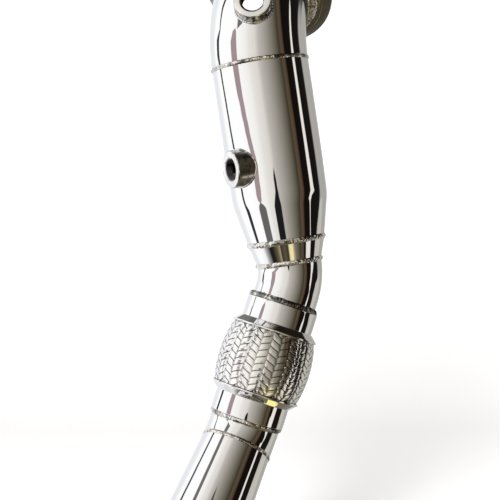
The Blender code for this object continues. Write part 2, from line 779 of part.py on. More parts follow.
def main():
    clear_scene()
    parts = new_collection("turbo_downpipe")
    cutters = new_collection("cutters")
    route = Route()
    inlet = new_empty("inlet_axis", route.inlet, parts)
    elbow_top = new_empty("elbow_axis", route.elbow_top, parts)
    body_top = new_empty("body_axis", route.body_top, parts)
    reducer_top = new_empty("reducer_axis", route.reducer_top, parts)
    bend_top = new_empty("bend_axis", route.bend_top, parts)
    flex_top = new_empty("flex_axis", route.flex_top, parts)
    link_top = new_empty("link_axis", route.link_top, parts)
    outlet_top = new_empty("outlet_axis", route.outlet_top, parts)

    make_inlet_flange(parts, inlet)
    elbow = make_inlet_elbow(parts, elbow_top, route.elbow)
    body = make_body_tube(parts, body_top)
    make_reducer(parts, reducer_top)
    make_bend_tube(parts, bend_top, route.bend)
    make_flex(parts, flex_top)
    make_outlet(parts, link_top, outlet_top, route.link)

    half_gap = GAP / 2.0
    neck_rise = (BODY_RADIUS - NECK_RADIUS) / NECK_LENGTH
    reducer_rise = (NECK_RADIUS - BEND_TUBE_RADIUS) / REDUCER_LENGTH
    flare_rise = (OUTLET_RADIUS - LINK_RADIUS) / OUTLET_FLARE_LENGTH
    weld_bead("elbow_weld", girth_section(BODY_RADIUS, 0.0, 0.0, half_gap), parts, body_top, 0.9)
    body_joint = girth_section(NECK_RADIUS, neck_rise, -reducer_rise, half_gap)
    weld_bead("body_weld", body_joint, parts, reducer_top, 1.6)
    reducer_joint = girth_section(BEND_TUBE_RADIUS, reducer_rise, 0.0, half_gap)
    weld_bead("reducer_weld", reducer_joint, parts, bend_top, 4.2)
    outlet_joint = girth_section(LINK_RADIUS, 0.0, flare_rise, half_gap)
    weld_bead("outlet_weld", outlet_joint, parts, outlet_top, 5.0)

    coping = BODY_RADIUS + GAP
    body_bar = round_cutter("body_coping", coping, -BODY_STRAIGHT - NECK_LENGTH, 0.0, cutters, body_top)
    elbow_bar = bent_cutter("elbow_coping", coping, 0.0, route.elbow, 0.0, ELBOW_STEPS, cutters, elbow_top)
    lower = Matrix.Translation((0.0, 0.0, -LOWER_BUNG_DROP)) @ bung_frame(
        BODY_RADIUS, LOWER_BUNG_ANGLE, LOWER_BUNG_TILT
    )
    make_bung("lower_sensor", parts, cutters, body_top, body, body_bar, lower, off_straight_line)
    rise = route.elbow.angle - math.radians(UPPER_BUNG_RISE)
    to_elbow_end = route.elbow_top.inverted() @ route.elbow.end
    back = route.elbow.turn(rise) @ route.elbow.turn(route.elbow.angle).inverted()
    upper = back @ to_elbow_end @ bung_frame(BODY_RADIUS, UPPER_BUNG_ANGLE, UPPER_BUNG_TILT)
    make_bung("upper_sensor", parts, cutters, elbow_top, elbow, elbow_bar, upper, route.elbow.off_centre_line)
    bpy.context.view_layer.update()
    settle(parts)


main()
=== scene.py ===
"""Dresses the turbo downpipe: polished tubes, hand-laid welds, a woven flex coupling, a studio."""

import math

import bmesh
import bpy
from bpy.props import FloatProperty, FloatVectorProperty, IntProperty, PointerProperty
from bpy.types import Operator, Panel, PropertyGroup
from mathutils import Matrix, Vector, noise


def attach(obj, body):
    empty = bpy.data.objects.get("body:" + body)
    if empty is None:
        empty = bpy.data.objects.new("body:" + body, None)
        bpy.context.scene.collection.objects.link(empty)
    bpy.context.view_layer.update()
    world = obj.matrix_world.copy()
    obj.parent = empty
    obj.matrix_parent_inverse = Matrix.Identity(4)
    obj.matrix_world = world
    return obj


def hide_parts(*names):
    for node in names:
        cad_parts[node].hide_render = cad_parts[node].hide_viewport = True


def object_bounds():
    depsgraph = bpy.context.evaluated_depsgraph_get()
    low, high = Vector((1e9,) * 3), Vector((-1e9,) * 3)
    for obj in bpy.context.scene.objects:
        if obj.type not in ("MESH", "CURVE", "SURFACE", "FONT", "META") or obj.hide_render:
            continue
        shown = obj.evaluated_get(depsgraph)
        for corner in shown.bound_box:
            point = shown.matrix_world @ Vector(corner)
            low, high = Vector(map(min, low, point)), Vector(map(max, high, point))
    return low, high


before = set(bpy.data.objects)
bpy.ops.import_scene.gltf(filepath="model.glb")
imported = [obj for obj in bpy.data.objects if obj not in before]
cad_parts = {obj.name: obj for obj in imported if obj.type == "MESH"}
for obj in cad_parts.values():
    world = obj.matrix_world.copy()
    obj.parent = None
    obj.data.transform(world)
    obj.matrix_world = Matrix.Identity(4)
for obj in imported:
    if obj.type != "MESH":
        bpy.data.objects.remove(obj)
CAD_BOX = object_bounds()

bl_info = {
    "name": "Turbo downpipe",
    "version": (1, 0, 0),
    "blender": (4, 5, 0),
    "location": "View3D > Sidebar > Downpipe",
    "description": "Builds the finished surfaces of a welded stainless downpipe and its studio",
    "category": "Object",
}

BODY = "root"
SHARP_ANGLE = math.radians(32.0)
SHARP_ANGLE_OF_BEADS = math.radians(60.0)
SHARP_ANGLE_OF_BRAID = math.radians(50.0)
MERGE_DISTANCE = 0.000002
CUTTER_SIDES = 192
BUNG_SIDES = 96

# How far a bead's toes and its hidden root lie under the surfaces that it joins
TOE_SINK = 0.00015
GIRTH_ROOT = 0.0006
FILLET_ROOT = 0.0004


def distance(name, default, description):
    return FloatProperty(
        name=name, default=default, description=description, unit="LENGTH", precision=5
    )


def turn(name, degrees, description):
    return FloatProperty(
        name=name, default=math.radians(degrees), description=description, subtype="ANGLE"
    )


def share(name, default, description):
    return FloatProperty(name=name, default=default, description=description, subtype="FACTOR")


def count(name, default, description):
    return IntProperty(name=name, default=default, description=description, min=1)


def colour(name, default, description):
    return FloatVectorProperty(
        name=name, default=default, description=description,
        subtype="COLOR", size=3, min=0.0, max=1.0,
    )


class DownpipeRun(PropertyGroup):
    """Headings and lengths of the pipe, from the flange's sealing face down."""

    inlet_lean: turn("Inlet lean", -19.4, "Inlet's lean towards +X")
    inlet_forward: turn("Inlet forward", 36.8, "Inlet's slope towards the viewer")
    body_lean: turn("Body lean", 8.5, "Body's lean towards +X")
    body_forward: turn("Body forward", -1.5, "Body's slope towards the viewer")
    flex_lean: turn("Flex lean", -18.0, "Flex coupling's lean towards +X")
    flex_forward: turn("Flex forward", 3.5, "Flex coupling's slope towards the viewer")
    outlet_lean: turn("Outlet lean", -24.0, "Outlet's lean towards +X")
    outlet_forward: turn("Outlet forward", 22.0, "Outlet's slope towards the viewer")
    gap: distance("Joint gap", 0.0003, "Clearance between neighbouring pieces")
    inlet_straight: distance("Inlet straight", 0.0113, "Straight lead before the elbow")
    elbow_bend: distance("Elbow bend", 0.0762, "Centre line radius of the elbow")
    body_straight: distance("Body straight", 0.1065, "Body from the elbow to its taper")
    neck_length: distance("Neck length", 0.0333, "Length of the body's taper")
    reducer_length: distance("Reducer length", 0.0165, "Length of the reducer ring")
    lower_bend: distance("Lower bend", 0.0520, "Centre line radius of the bend tube")
    bend_tail: distance("Bend tail", 0.0100, "Straight end of the bend tube")
    flex_length: distance("Flex length", 0.0931, "Flex coupling from collar to collar")
    link_bend: distance("Link bend", 0.0690, "Centre line radius of the outlet link")
    flare_length: distance("Flare length", 0.0820, "Flaring length of the outlet pipe")
    outlet_straight: distance("Outlet straight", 0.0450, "Straight end of the outlet pipe")


class DownpipeTubes(PropertyGroup):
    """Radii and walls of the tubes."""

    body_radius: distance("Body", 0.0381, "Outer radius of elbow and body")
    neck_radius: distance("Neck", 0.03035, "Outer radius of the body's neck")
    bend_radius: distance("Bend tube", 0.0254, "Outer radius of the bend tube")
    link_radius: distance("Link", 0.0275, "Outer radius of the outlet link")
    outlet_radius: distance("Outlet", 0.03175, "Outer radius of the outlet pipe")
    wall: distance("Wall", 0.0016, "Wall of every tube")
    draw_in: distance("Draw-in", 0.00055, "How far the body shrinks before its taper starts")
    draw_in_length: distance("Draw-in length", 0.0330, "Length over which the body shrinks")
    swage_ease: distance("Swage ease", 0.0055, "Reach of the soft turn into the taper")
    flare_ease: distance("Flare ease", 0.0200, "Reach of the soft turn where the flare ends")
    socket: distance("Socket", 0.0060, "How deep a tube sits in a collar")
    ring_step: distance("Ring step", 0.0024, "Spacing of the mesh rings along a tube")
    heat_reach: distance("Heat reach", 0.0035, "How far the weld's heat shows on a tube")
    sides: count("Sides", 128, "Facets round a tube")


class DownpipeFlange(PropertyGroup):
    """The inlet's clamp flange."""

    shoulder_width: distance("Shoulder", 0.0084, "Shoulder beyond the tube")
    rim_width: distance("Rim width", 0.0065, "Rim beyond the shoulder")
    rim_thickness: distance("Rim thickness", 0.0032, "Thickness at the rim")
    thickness: distance("Thickness", 0.0072, "Thickness at the shoulder")
    tube_stop: distance("Tube stop", 0.0036, "Depth at which the tube stops")
    register_width: distance("Register", 0.0069, "Register's radius beyond the tube")
    register_depth: distance("Register depth", 0.0012, "Depth of the register")
    edge: distance("Edge", 0.0005, "Broken edges")


class DownpipeBungs(PropertyGroup):
    """The two oxygen sensor bungs."""

    radius: distance("Radius", 0.0145, "Outer radius")
    bore: distance("Bore", 0.0087, "Mean radius of the threaded bore")
    thread_pitch: distance("Thread pitch", 0.0015, "Pitch of the thread")
    thread_depth: distance("Thread depth", 0.0008, "Depth of the thread")
    height: distance("Height", 0.0076, "Height over the tube")
    chamfer: distance("Chamfer", 0.0008, "Edge chamfers")
    weld_radius: distance("Weld", 0.0009, "Radius of the bead round the foot")
    lower_drop: distance("Lower drop", 0.0791, "Lower bung below the elbow weld")
    lower_angle: turn("Lower angle", 48.0, "Lower bung round the body from its front")
    lower_tilt: turn("Lower tilt", 15.5, "Lower bung's tilt")
    upper_rise: turn("Upper rise", 22.0, "Upper bung above the elbow weld")
    upper_angle: turn("Upper angle", 5.0, "Upper bung round the elbow from its front")


class DownpipeFlex(PropertyGroup):
    """The flex coupling: collars, caps, braid, bellows and liner."""

    inlet_collar_wall: distance("Inlet collar", 0.0029, "Wall of the inlet collar")
    outlet_collar_wall: distance("Outlet collar", 0.0018, "Wall of the outlet collar")
    collar_showing: distance("Collar showing", 0.0162, "Collar that shows beyond its cap")
    collar_tuck: distance("Collar tuck", 0.0055, "Collar hidden in the braid")
    shoulder_length: distance("Shoulder length", 0.0044, "Length of a cap's shoulder")
    shoulder_rise: distance("Shoulder rise", 0.0050, "Rise of a cap's shoulder")
    lip_length: distance("Lip length", 0.0017, "Length of a cap's rolled lip")
    lip_step: distance("Lip step", 0.0005, "Step from shoulder to lip")
    cap_thickness: distance("Cap sheet", 0.0009, "Thickness of a cap's sheet")
    bulge: distance("Bulge", 0.0034, "How far the braid swells at its middle")
    columns: count("Columns", 28, "Columns of the herringbone")
    rows: count("Rows", 9, "Rows of the herringbone")
    wires: count("Wires", 4, "Wires side by side in a strip")
    strip_fill: share("Strip fill", 0.92, "Width of a strip as a share of its row")
    strip_thickness: distance("Strip thickness", 0.00040, "Thickness of a strip")
    strip_lift: distance("Strip lift", 0.00024, "How far a strip rises over the ones it crosses")
    strip_flatness: share("Strip flatness", 0.45, "How much flatter a strip lies when on top")
    wire_groove: distance("Wire groove", 0.00002, "Depth of the grooves between wires")
    bellows_wall: distance("Bellows wall", 0.0006, "Wall of the bellows")
    bellows_rise: distance("Bellows rise", 0.0029, "Bellows crests over the inlet collar")
    bellows_depth: distance("Bellows depth", 0.0032, "Depth of the bellows")
    bellows_waves: count("Bellows waves", 7, "Waves of the bellows")
    liner_wall: distance("Liner wall", 0.0014, "Wall of the liner")
    liner_hooks: count("Liner hooks", 5, "Turns of the liner's strip that show as steps")
    liner_hook_depth: distance("Hook depth", 0.0005, "Depth of the liner's steps")


class DownpipeWelds(PropertyGroup):
    """The weld beads."""

    width: distance("Width", 0.0046, "Width of a girth bead")
    crown: distance("Crown", 0.0010, "Height of a girth bead")
    coin: distance("Coin", 0.0017, "Spacing of the ripples in a neat bead")
    flange_leg: distance("Flange leg", 0.0040, "Leg of the fillet behind the flange")
    collar_leg: distance("Collar leg", 0.0042, "Leg of the fillets at the collars")


class DownpipeFinish(PropertyGroup):
    """Colours of the finishes."""

    polished: colour("Polished steel", (0.80, 0.80, 0.805), "Mirror-polished tube")
    # Flange steel darkened far below turned steel's own shade: painted shade for the dark it
    # reflects.
    machined_in_painted_shade: colour("Machined steel", (0.24, 0.23, 0.21), "Turned flange")
    turned: colour("Turned steel", (0.74, 0.735, 0.72), "Bright turned bungs")
    weld: colour("Weld metal", (0.80, 0.79, 0.77), "Clean weld bead")
    straw: colour("Straw tint", (0.62, 0.46, 0.20), "Colour that heat leaves on steel")
    # Soot is also the painted shade inside the bungs' bores.
    soot_and_bore_shade: colour("Soot", (0.06, 0.055, 0.05), "Dark oxide in the folds of a bead")
    wire: colour("Wire", (0.86, 0.85, 0.83), "Drawn braid wire")
    liner: colour("Liner", (0.46, 0.45, 0.43), "Formed strip and bellows")


class DownpipeStudio(PropertyGroup):
    """Camera, floor and light."""

    aim: FloatVectorProperty(
        name="Aim", default=(-0.01467, -0.02539, -0.21097), description="Middle of the view",
        size=3, subtype="TRANSLATION", unit="LENGTH",
    )
    camera_distance: distance("Camera distance", 0.930, "Camera in front of the aim")
    view_width: distance("View width", 0.393, "Width of the view at the aim")
    floor_size: distance("Floor size", 3.0, "Half width of the floor")
    cove_start: distance("Cove start", 0.90, "Where the floor starts to curve up behind the pipe")
    cove_radius: distance("Cove radius", 0.50, "Radius of the cove")
    floor_shade: share("Floor shade", 0.80, "Paleness of the floor")
    white_fill: share("White fill", 0.345, "White that the camera adds to the floor")
    key_power: FloatProperty(
        name="Key power", default=36.0, description="Watts of the key light", unit="POWER"
    )
    key_size: distance("Key size", 0.42, "Width of the key light")
    key_offset: FloatVectorProperty(
        name="Key offset", default=(-0.30, -1.28, 0.72), description="Key light from the aim",
        size=3, subtype="TRANSLATION", unit="LENGTH",
    )
    card_white: FloatProperty(
        name="Card white", default=1.24, description="Brightness of the white cards"
    )


class DownpipeSettings(PropertyGroup):
    """Every size and colour of the downpipe."""

    run: PointerProperty(type=DownpipeRun, name="Run", description="Headings and lengths")
    tubes: PointerProperty(type=DownpipeTubes, name="Tubes", description="Radii and walls")
    flange: PointerProperty(type=DownpipeFlange, name="Flange", description="Inlet flange")
    bungs: PointerProperty(type=DownpipeBungs, name="Bungs", description="Sensor bungs")
    flex: PointerProperty(type=DownpipeFlex, name="Flex", description="Flex coupling")
    welds: PointerProperty(type=DownpipeWelds, name="Welds", description="Weld beads")
    finish: PointerProperty(type=DownpipeFinish, name="Finish", description="Colours")
    studio: PointerProperty(type=DownpipeStudio, name="Studio", description="Camera and light")


def settings():
    return bpy.context.scene.downpipe


def heading(lean, forward):
    """Unit vector down the pipe for a lean towards +X and a slope towards the viewer."""
    return Vector((
        math.sin(lean) * math.cos(forward),
        -math.sin(forward),
        -math.cos(lean) * math.cos(forward),
    ))


def station(point, direction):
    """Axes at a point of the pipe: Z up the pipe, X to the viewer's right."""
    up = -direction
    right = Vector((1.0, 0.0, 0.0))
    side = (right - right.dot(up) * up).normalized()
    matrix = Matrix((side, up.cross(side), up)).transposed().to_4x4()
    matrix.translation = point
    return matrix


def down(start, length):
    """The station a straight length further down the pipe."""
    return start @ Matrix.Translation((0.0, 0.0, -length))


class Bend:
    """A bend that leaves a station along its axis and ends on a new heading."""

    def __init__(self, start, direction, radius):
        aim = start.to_3x3().inverted() @ direction
        sideways = Vector((aim.x, aim.y, 0.0))
        self.radius = radius
        self.angle = math.atan2(sideways.length, -aim.z)
        self.toward = sideways.normalized()
        self.centre = self.toward * radius
        self.axis = Vector((0.0, 0.0, -1.0)).cross(self.toward)
        self.end = station((start @ self.turn(self.angle)).translation, direction)

    def turn(self, angle):
        """Movement, in the start station's axes, that carries the start round by an angle."""
        spin = Matrix.Rotation(angle, 4, self.axis)
        return Matrix.Translation(self.centre) @ spin @ Matrix.Translation(-self.centre)

    def off_centre_line(self, point):
        """Distance of a point, in the start station's axes, from the centre line."""
        arm = point - self.centre
        out_of_plane = arm.dot(self.axis)
        in_plane = (arm - out_of_plane * self.axis).length - self.radius
        return math.hypot(in_plane, out_of_plane)

    def way(self, point):
        """How far down the centre line a point lies, on the bend and its straight ends."""
        arm = point - self.centre
        angle = math.atan2(-arm.z, -arm.dot(self.toward))
        if angle <= 0.0:
            return -point.z
        if angle < self.angle:
            return self.radius * angle
        past = self.turn(self.angle).inverted() @ point
        return self.radius * self.angle - past.z


def off_straight_line(point):
    """Distance of a point from the Z axis of its station."""
    return math.hypot(point.x, point.y)


class Route:
    """The stations of the pipe from the sealing face down to the outlet."""

    def __init__(self):
        run = settings().run
        self.inlet = station(Vector((0.0, 0.0, 0.0)), heading(run.inlet_lean, run.inlet_forward))
        self.elbow_top = down(self.inlet, run.inlet_straight)
        self.elbow = Bend(self.elbow_top, heading(run.body_lean, run.body_forward), run.elbow_bend)
        self.body_top = down(self.elbow.end, run.gap)
        self.reducer_top = down(self.body_top, run.body_straight + run.neck_length + run.gap)
        self.bend_top = down(self.reducer_top, run.reducer_length + run.gap)
        self.bend = Bend(self.bend_top, heading(run.flex_lean, run.flex_forward), run.lower_bend)
        self.flex_top = down(self.bend.end, run.bend_tail)
        self.link_top = down(self.flex_top, run.flex_length)
        self.link = Bend(self.link_top, heading(run.outlet_lean, run.outlet_forward), run.link_bend)
        self.outlet_top = down(self.link.end, run.gap)


def eased(before, corner, after, reach, steps=6):
    """Points of a soft turn that replaces a corner of an outline."""
    here = Vector(corner)
    to_before = Vector(before) - here
    to_after = Vector(after) - here
    start = here + to_before.normalized() * min(reach, to_before.length / 2.0)
    end = here + to_after.normalized() * min(reach, to_after.length / 2.0)
    points = []
    for step in range(steps + 1):
        t = step / steps
        point = start * (1.0 - t) ** 2 + here * 2.0 * t * (1.0 - t) + end * t**2
        points.append((point.x, point.y))
    return points


def with_broken_edges(corners, steps=3):
    """A closed outline of (radius, height, reach) with each corner rounded by its reach."""
    outline = []
    total = len(corners)
    for i, (radius, height, reach) in enumerate(corners):
        if reach:
            after = corners[(i + 1) % total][:2]
            outline += eased(corners[i - 1][:2], (radius, height), after, reach, steps)
        else:
            outline.append((radius, height))
    return outline


def upside_down(outline, length):
    """The same outline for the other end of a piece of this length."""
    return [(point[0], -length - point[1], *point[2:]) for point in reversed(outline)]


def spin_outline(outline, sides, closed=True):
    """Turns an outline of (radius, height) round Z and notes the way along it on each vertex."""
    bm = bmesh.new()
    along = bm.verts.layers.float.new("along")
    verts = []
    way = 0.0
    last = outline[0]
    for radius, height in outline:
        way += math.dist(last, (radius, height))
        last = (radius, height)
        vert = bm.verts.new((radius, 0.0, height))
        vert[along] = way
        verts.append(vert)
    ends = len(verts) if closed else len(verts) - 1
    edges = [bm.edges.new((verts[i], verts[(i + 1) % len(verts)])) for i in range(ends)]
    bmesh.ops.spin(
        bm, geom=verts + edges, cent=(0, 0, 0), axis=(0, 0, 1), angle=math.tau, steps=sides,
        use_merge=True,
    )
    bmesh.ops.remove_doubles(bm, verts=bm.verts, dist=MERGE_DISTANCE)
    bmesh.ops.recalc_face_normals(bm, faces=bm.faces)
    return bm


def face_outwards(bm, off_centre_line):
    """Turns an open skin's faces away from its centre line."""
    face = bm.faces[0]
    middle = face.calc_center_median()
    if off_centre_line(middle + face.normal * 0.001) < off_centre_line(middle):
        bmesh.ops.reverse_faces(bm, faces=bm.faces)


def note_heat(bm, hot_ends):
    """Marks how strongly a weld's heat reached each vertex, from its way along the tube."""
    reach = settings().tubes.heat_reach
    along = bm.verts.layers.float["along"]
    heat = bm.verts.layers.float.new("scorch")
    for vert in bm.verts:
        nearest = min(abs(vert[along] - end) for end in hot_ends)
        vert[heat] = math.exp(-nearest / reach)


def put_in_scene(name, bm, place):
    """A smooth-shaded object whose mesh holds its place, standing at the origin."""
    bmesh.ops.transform(bm, matrix=place, verts=bm.verts)
    mesh = bpy.data.meshes.new(name)
    bm.to_mesh(mesh)
    bm.free()
    obj = bpy.data.objects.new(name, mesh)
    bpy.context.scene.collection.objects.link(obj)
    return obj


def set_modifiers(obj):
    """Replaces an object's mesh by what its modifiers make of it."""
    graph = bpy.context.evaluated_depsgraph_get()
    mesh = bpy.data.meshes.new_from_object(obj.evaluated_get(graph))
    obj.modifiers.clear()
    obj.data = mesh


# The record's slots and the finish that each has here
FINISH_OF_SLOT = {
    "polished_stainless": "mirror_polish",
    "machined_stainless": "coarse_turned",
    "weld_metal": "weld_bead",
    "braid_wire": "drawn_wire",
    "liner_stainless": "formed_strip",
}


def finish_piece(obj, node, slot, sharp=SHARP_ANGLE, finish=None):
    """Shades a piece, gives it its finish and lets it stand for its CAD node."""
    obj.data.shade_smooth()
    obj.data.set_sharp_from_angle(angle=sharp)
    obj.data.materials.clear()
    obj.data.materials.append(bpy.data.materials[finish or FINISH_OF_SLOT[slot]])
    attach(obj, BODY)
    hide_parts(node)
    return obj


def give_wall(obj, thickness):
    shell = obj.modifiers.new("wall", "SOLIDIFY")
    shell.thickness = thickness
    shell.offset = -1.0
    shell.use_even_offset = True


def cut_away(obj, cutter):
    boolean = obj.modifiers.new("cut", "BOOLEAN")
    boolean.operation = "DIFFERENCE"
    boolean.solver = "EXACT"
    boolean.object = cutter


def round_bar(name, radius, low, high, place, sides):
    """A cylinder on a station's Z axis, to cut with."""
    bm = bmesh.new()
    middle = Matrix.Translation((0.0, 0.0, (low + high) / 2.0))
    bmesh.ops.create_cone(
        bm, cap_ends=True, segments=sides, radius1=radius, radius2=radius, depth=high - low,
        matrix=middle,
    )
    return put_in_scene(name, bm, place)


def remove(*objects):
    for obj in objects:
        bpy.data.objects.remove(obj, do_unlink=True)


def straight_rows(start, end, step):
    """Evenly spaced points of a straight stretch of an outline, without its last one."""
    rows = max(1, round(math.dist(start, end) / step))
    return [
        tuple(Vector(start).lerp(Vector(end), row / rows))
        for row in range(rows)
    ]


def turned_tube(name, outline, place, hot_ends):
    """A straight tube: its outer outline turned into a skin that gets the tubes' wall."""
    tubes = settings().tubes
    bm = spin_outline(outline, tubes.sides, closed=False)
    face_outwards(bm, off_straight_line)
    note_heat(bm, hot_ends)
    obj = put_in_scene(name, bm, place)
    give_wall(obj, tubes.wall)
    return obj


def tube_skin(bm, radius, lead, bend, tail, sides):
    """Open skin of a bent tube: a straight lead, the bend and a straight tail."""
    step = settings().tubes.ring_step
    place = Matrix.Translation((0.0, 0.0, lead))
    ring = bmesh.ops.create_circle(bm, radius=radius, segments=sides, matrix=place)
    edges = list({edge for vert in ring["verts"] for edge in vert.link_edges})
    edges = drawn_out(bm, edges, Vector((0.0, 0.0, -1.0)), lead, step)
    geometry = edges + list({vert for edge in edges for vert in edge.verts})
    steps = max(2, round(bend.radius * bend.angle / step))
    arc = bmesh.ops.spin(
        bm, geom=geometry, cent=bend.centre, axis=bend.axis, angle=bend.angle, steps=steps
    )
    last = [item for item in arc["geom_last"] if isinstance(item, bmesh.types.BMEdge)]
    drawn_out(bm, last, bend.turn(bend.angle).to_3x3() @ Vector((0.0, 0.0, -1.0)), tail, step)
    bmesh.ops.recalc_face_normals(bm, faces=bm.faces)


def drawn_out(bm, edges, direction, length, step):
    """Extrudes a ring of edges along a direction in even rows and returns the last ring."""
    rows = round(length / step) if length > step else int(length > 0.0)
    for _ in range(rows):
        made = bmesh.ops.extrude_edge_only(bm, edges=edges)["geom"]
        verts = [item for item in made if isinstance(item, bmesh.types.BMVert)]
        bmesh.ops.translate(bm, verts=verts, vec=direction * length / rows)
        edges = [item for item in made if isinstance(item, bmesh.types.BMEdge)]
    return edges


def bent_tube(name, radius, lead, bend, tail, place, hot_ends):
    tubes = settings().tubes
    bm = bmesh.new()
    tube_skin(bm, radius, lead, bend, tail, tubes.sides)
    face_outwards(bm, bend.off_centre_line)
    along = bm.verts.layers.float.new("along")
    for vert in bm.verts:
        vert[along] = bend.way(vert.co)
    note_heat(bm, hot_ends)
    obj = put_in_scene(name, bm, place)
    give_wall(obj, tubes.wall)
    return obj


def bung_frame(angle, tilt):
    """Axes of a bung on a tube, in the tube's station: Z out along its bore, X up the tube."""
    aim = angle + tilt
    axis = Vector((-math.sin(aim), -math.cos(aim), 0.0))
    up = Vector((0.0, 0.0, 1.0))
    matrix = Matrix((up, axis.cross(up), axis)).transposed().to_4x4()
    outward = Vector((-math.sin(angle), -math.cos(angle), 0.0))
    matrix.translation = outward * settings().tubes.body_radius
    return matrix


def lower_bung_place():
    """The lower bung's axes in the body's station."""
    bungs = settings().bungs
    drop = Matrix.Translation((0.0, 0.0, -bungs.lower_drop))
    return drop @ bung_frame(bungs.lower_angle, bungs.lower_tilt)


def upper_bung_place(route):
    """The upper bung's axes in the elbow's station."""
    bungs = settings().bungs
    to_end = route.elbow_top.inverted() @ route.elbow.end
    whole = route.elbow.turn(route.elbow.angle)
    back = route.elbow.turn(route.elbow.angle - bungs.upper_rise) @ whole.inverted()
    return back @ to_end @ bung_frame(bungs.upper_angle, 0.0)


def drill(tube, bung_axes):
    """Cuts the hole under a bung."""
    bungs = settings().bungs
    reach = bungs.radius
    bar = round_bar("bung_drill", bungs.bore, -reach, reach, bung_axes, BUNG_SIDES)
    cut_away(tube, bar)
    set_modifiers(tube)
    remove(bar)


# Finishes


def feed(tree, node, name, value):
    """Gives an input, by its name or number, a value or the socket that feeds it."""
    socket = node.inputs[name]
    if isinstance(value, bpy.types.NodeSocket):
        tree.links.new(value, socket)
    else:
        socket.default_value = value


def math_node(tree, operation, *values):
    node = tree.nodes.new("ShaderNodeMath")
    node.operation = operation
    for number, value in enumerate(values):
        feed(tree, node, number, value)
    return node.outputs[0]


def remap(tree, value, low, high, to_low=0.0, to_high=1.0):
    node = tree.nodes.new("ShaderNodeMapRange")
    node.interpolation_type = "SMOOTHSTEP"
    ends = {"From Min": low, "From Max": high, "To Min": to_low, "To Max": to_high}
    for name, number in {"Value": value, **ends}.items():
        feed(tree, node, name, number)
    return node.outputs["Result"]


def blend_colours(tree, factor, first, second):
    node = tree.nodes.new("ShaderNodeMix")
    node.data_type = "RGBA"
    feed(tree, node, "Factor", factor)
    for number, value in ((6, first), (7, second)):
        if isinstance(value, bpy.types.NodeSocket):
            tree.links.new(value, node.inputs[number])
        else:
            node.inputs[number].default_value = (*value, 1.0)
    return node.outputs[2]


def attribute(tree, name):
    node = tree.nodes.new("ShaderNodeAttribute")
    node.attribute_type = "GEOMETRY"
    node.attribute_name = name
    return node.outputs["Fac"]


def noise_texture(tree, vector, scale, detail=3.0, roughness=0.5):
    node = tree.nodes.new("ShaderNodeTexNoise")
    tree.links.new(vector, node.inputs["Vector"])
    node.inputs["Scale"].default_value = scale
    node.inputs["Detail"].default_value = detail
    node.inputs["Roughness"].default_value = roughness
    return node.outputs["Fac"]


def new_group(name, inputs, outputs):
    """An empty shader group with float inputs and named outputs."""
    group = bpy.data.node_groups.new(name, "ShaderNodeTree")
    for socket, default in inputs:
        made = group.interface.new_socket(
            name=socket, in_out="INPUT", socket_type="NodeSocketFloat"
        )
        made.default_value = default
    for socket, kind in outputs:
        group.interface.new_socket(name=socket, in_out="OUTPUT", socket_type=kind)
    return group, group.nodes.new("NodeGroupInput"), group.nodes.new("NodeGroupOutput")


def make_tool_lines_group():
    """Fine lines that run across a surface's own way: lathe grooves or polishing marks."""
    group, entry, leave = new_group(
        "tool_lines", [("Spacing", 0.0005), ("Unevenness", 0.5)], [("Lines", "NodeSocketFloat")]
    )
    turns = math_node(group, "DIVIDE", attribute(group, "along"), entry.outputs["Spacing"])
    grooves = math_node(group, "SINE", math_node(group, "MULTIPLY", turns, math.tau))
    scatter = group.nodes.new("ShaderNodeTexNoise")
    scatter.noise_dimensions = "1D"
    group.links.new(turns, scatter.inputs["W"])
    scatter.inputs["Scale"].default_value = 0.37
    scatter.inputs["Detail"].default_value = 4.0
    steady = math_node(group, "MULTIPLY", grooves, 0.25)
    uneven = math_node(group, "MULTIPLY", scatter.outputs["Fac"], entry.outputs["Unevenness"])
    group.links.new(math_node(group, "ADD", steady, uneven), leave.inputs["Lines"])


def make_smudges_group():
    """Soft patches of handling marks and faint dents."""
    group, entry, leave = new_group(
        "smudges", [("Size", 40.0)], [("Patches", "NodeSocketFloat"), ("Waves", "NodeSocketFloat")]
    )
    place = group.nodes.new("ShaderNodeTexCoord").outputs["Object"]
    patches = group.nodes.new("ShaderNodeTexNoise")
    group.links.new(place, patches.inputs["Vector"])
    group.links.new(entry.outputs["Size"], patches.inputs["Scale"])
    patches.inputs["Detail"].default_value = 5.0
    patches.inputs["Roughness"].default_value = 0.6
    group.links.new(remap(group, patches.outputs["Fac"], 0.42, 0.72), leave.inputs["Patches"])
    group.links.new(noise_texture(group, place, 55.0, 1.0), leave.inputs["Waves"])


def use_group(tree, name, **values):
    node = tree.nodes.new("ShaderNodeGroup")
    node.node_tree = bpy.data.node_groups[name]
    for socket, value in values.items():
        node.inputs[socket].default_value = value
    return node.outputs


def bump(tree, height, depth, normal=None):
    node = tree.nodes.new("ShaderNodeBump")
    node.inputs["Distance"].default_value = depth
    tree.links.new(height, node.inputs["Height"])
    if normal:
        tree.links.new(normal, node.inputs["Normal"])
    return node.outputs["Normal"]


def new_metal(name, base, roughness):
    material = bpy.data.materials.new(name)
    material.use_nodes = True
    tree = material.node_tree
    shader = tree.nodes["Principled BSDF"]
    shader.inputs["Metallic"].default_value = 1.0
    shader.inputs["Base Color"].default_value = (*base, 1.0)
    shader.inputs["Roughness"].default_value = roughness
    material.diffuse_color = (*base, 1.0)
    return tree, shader


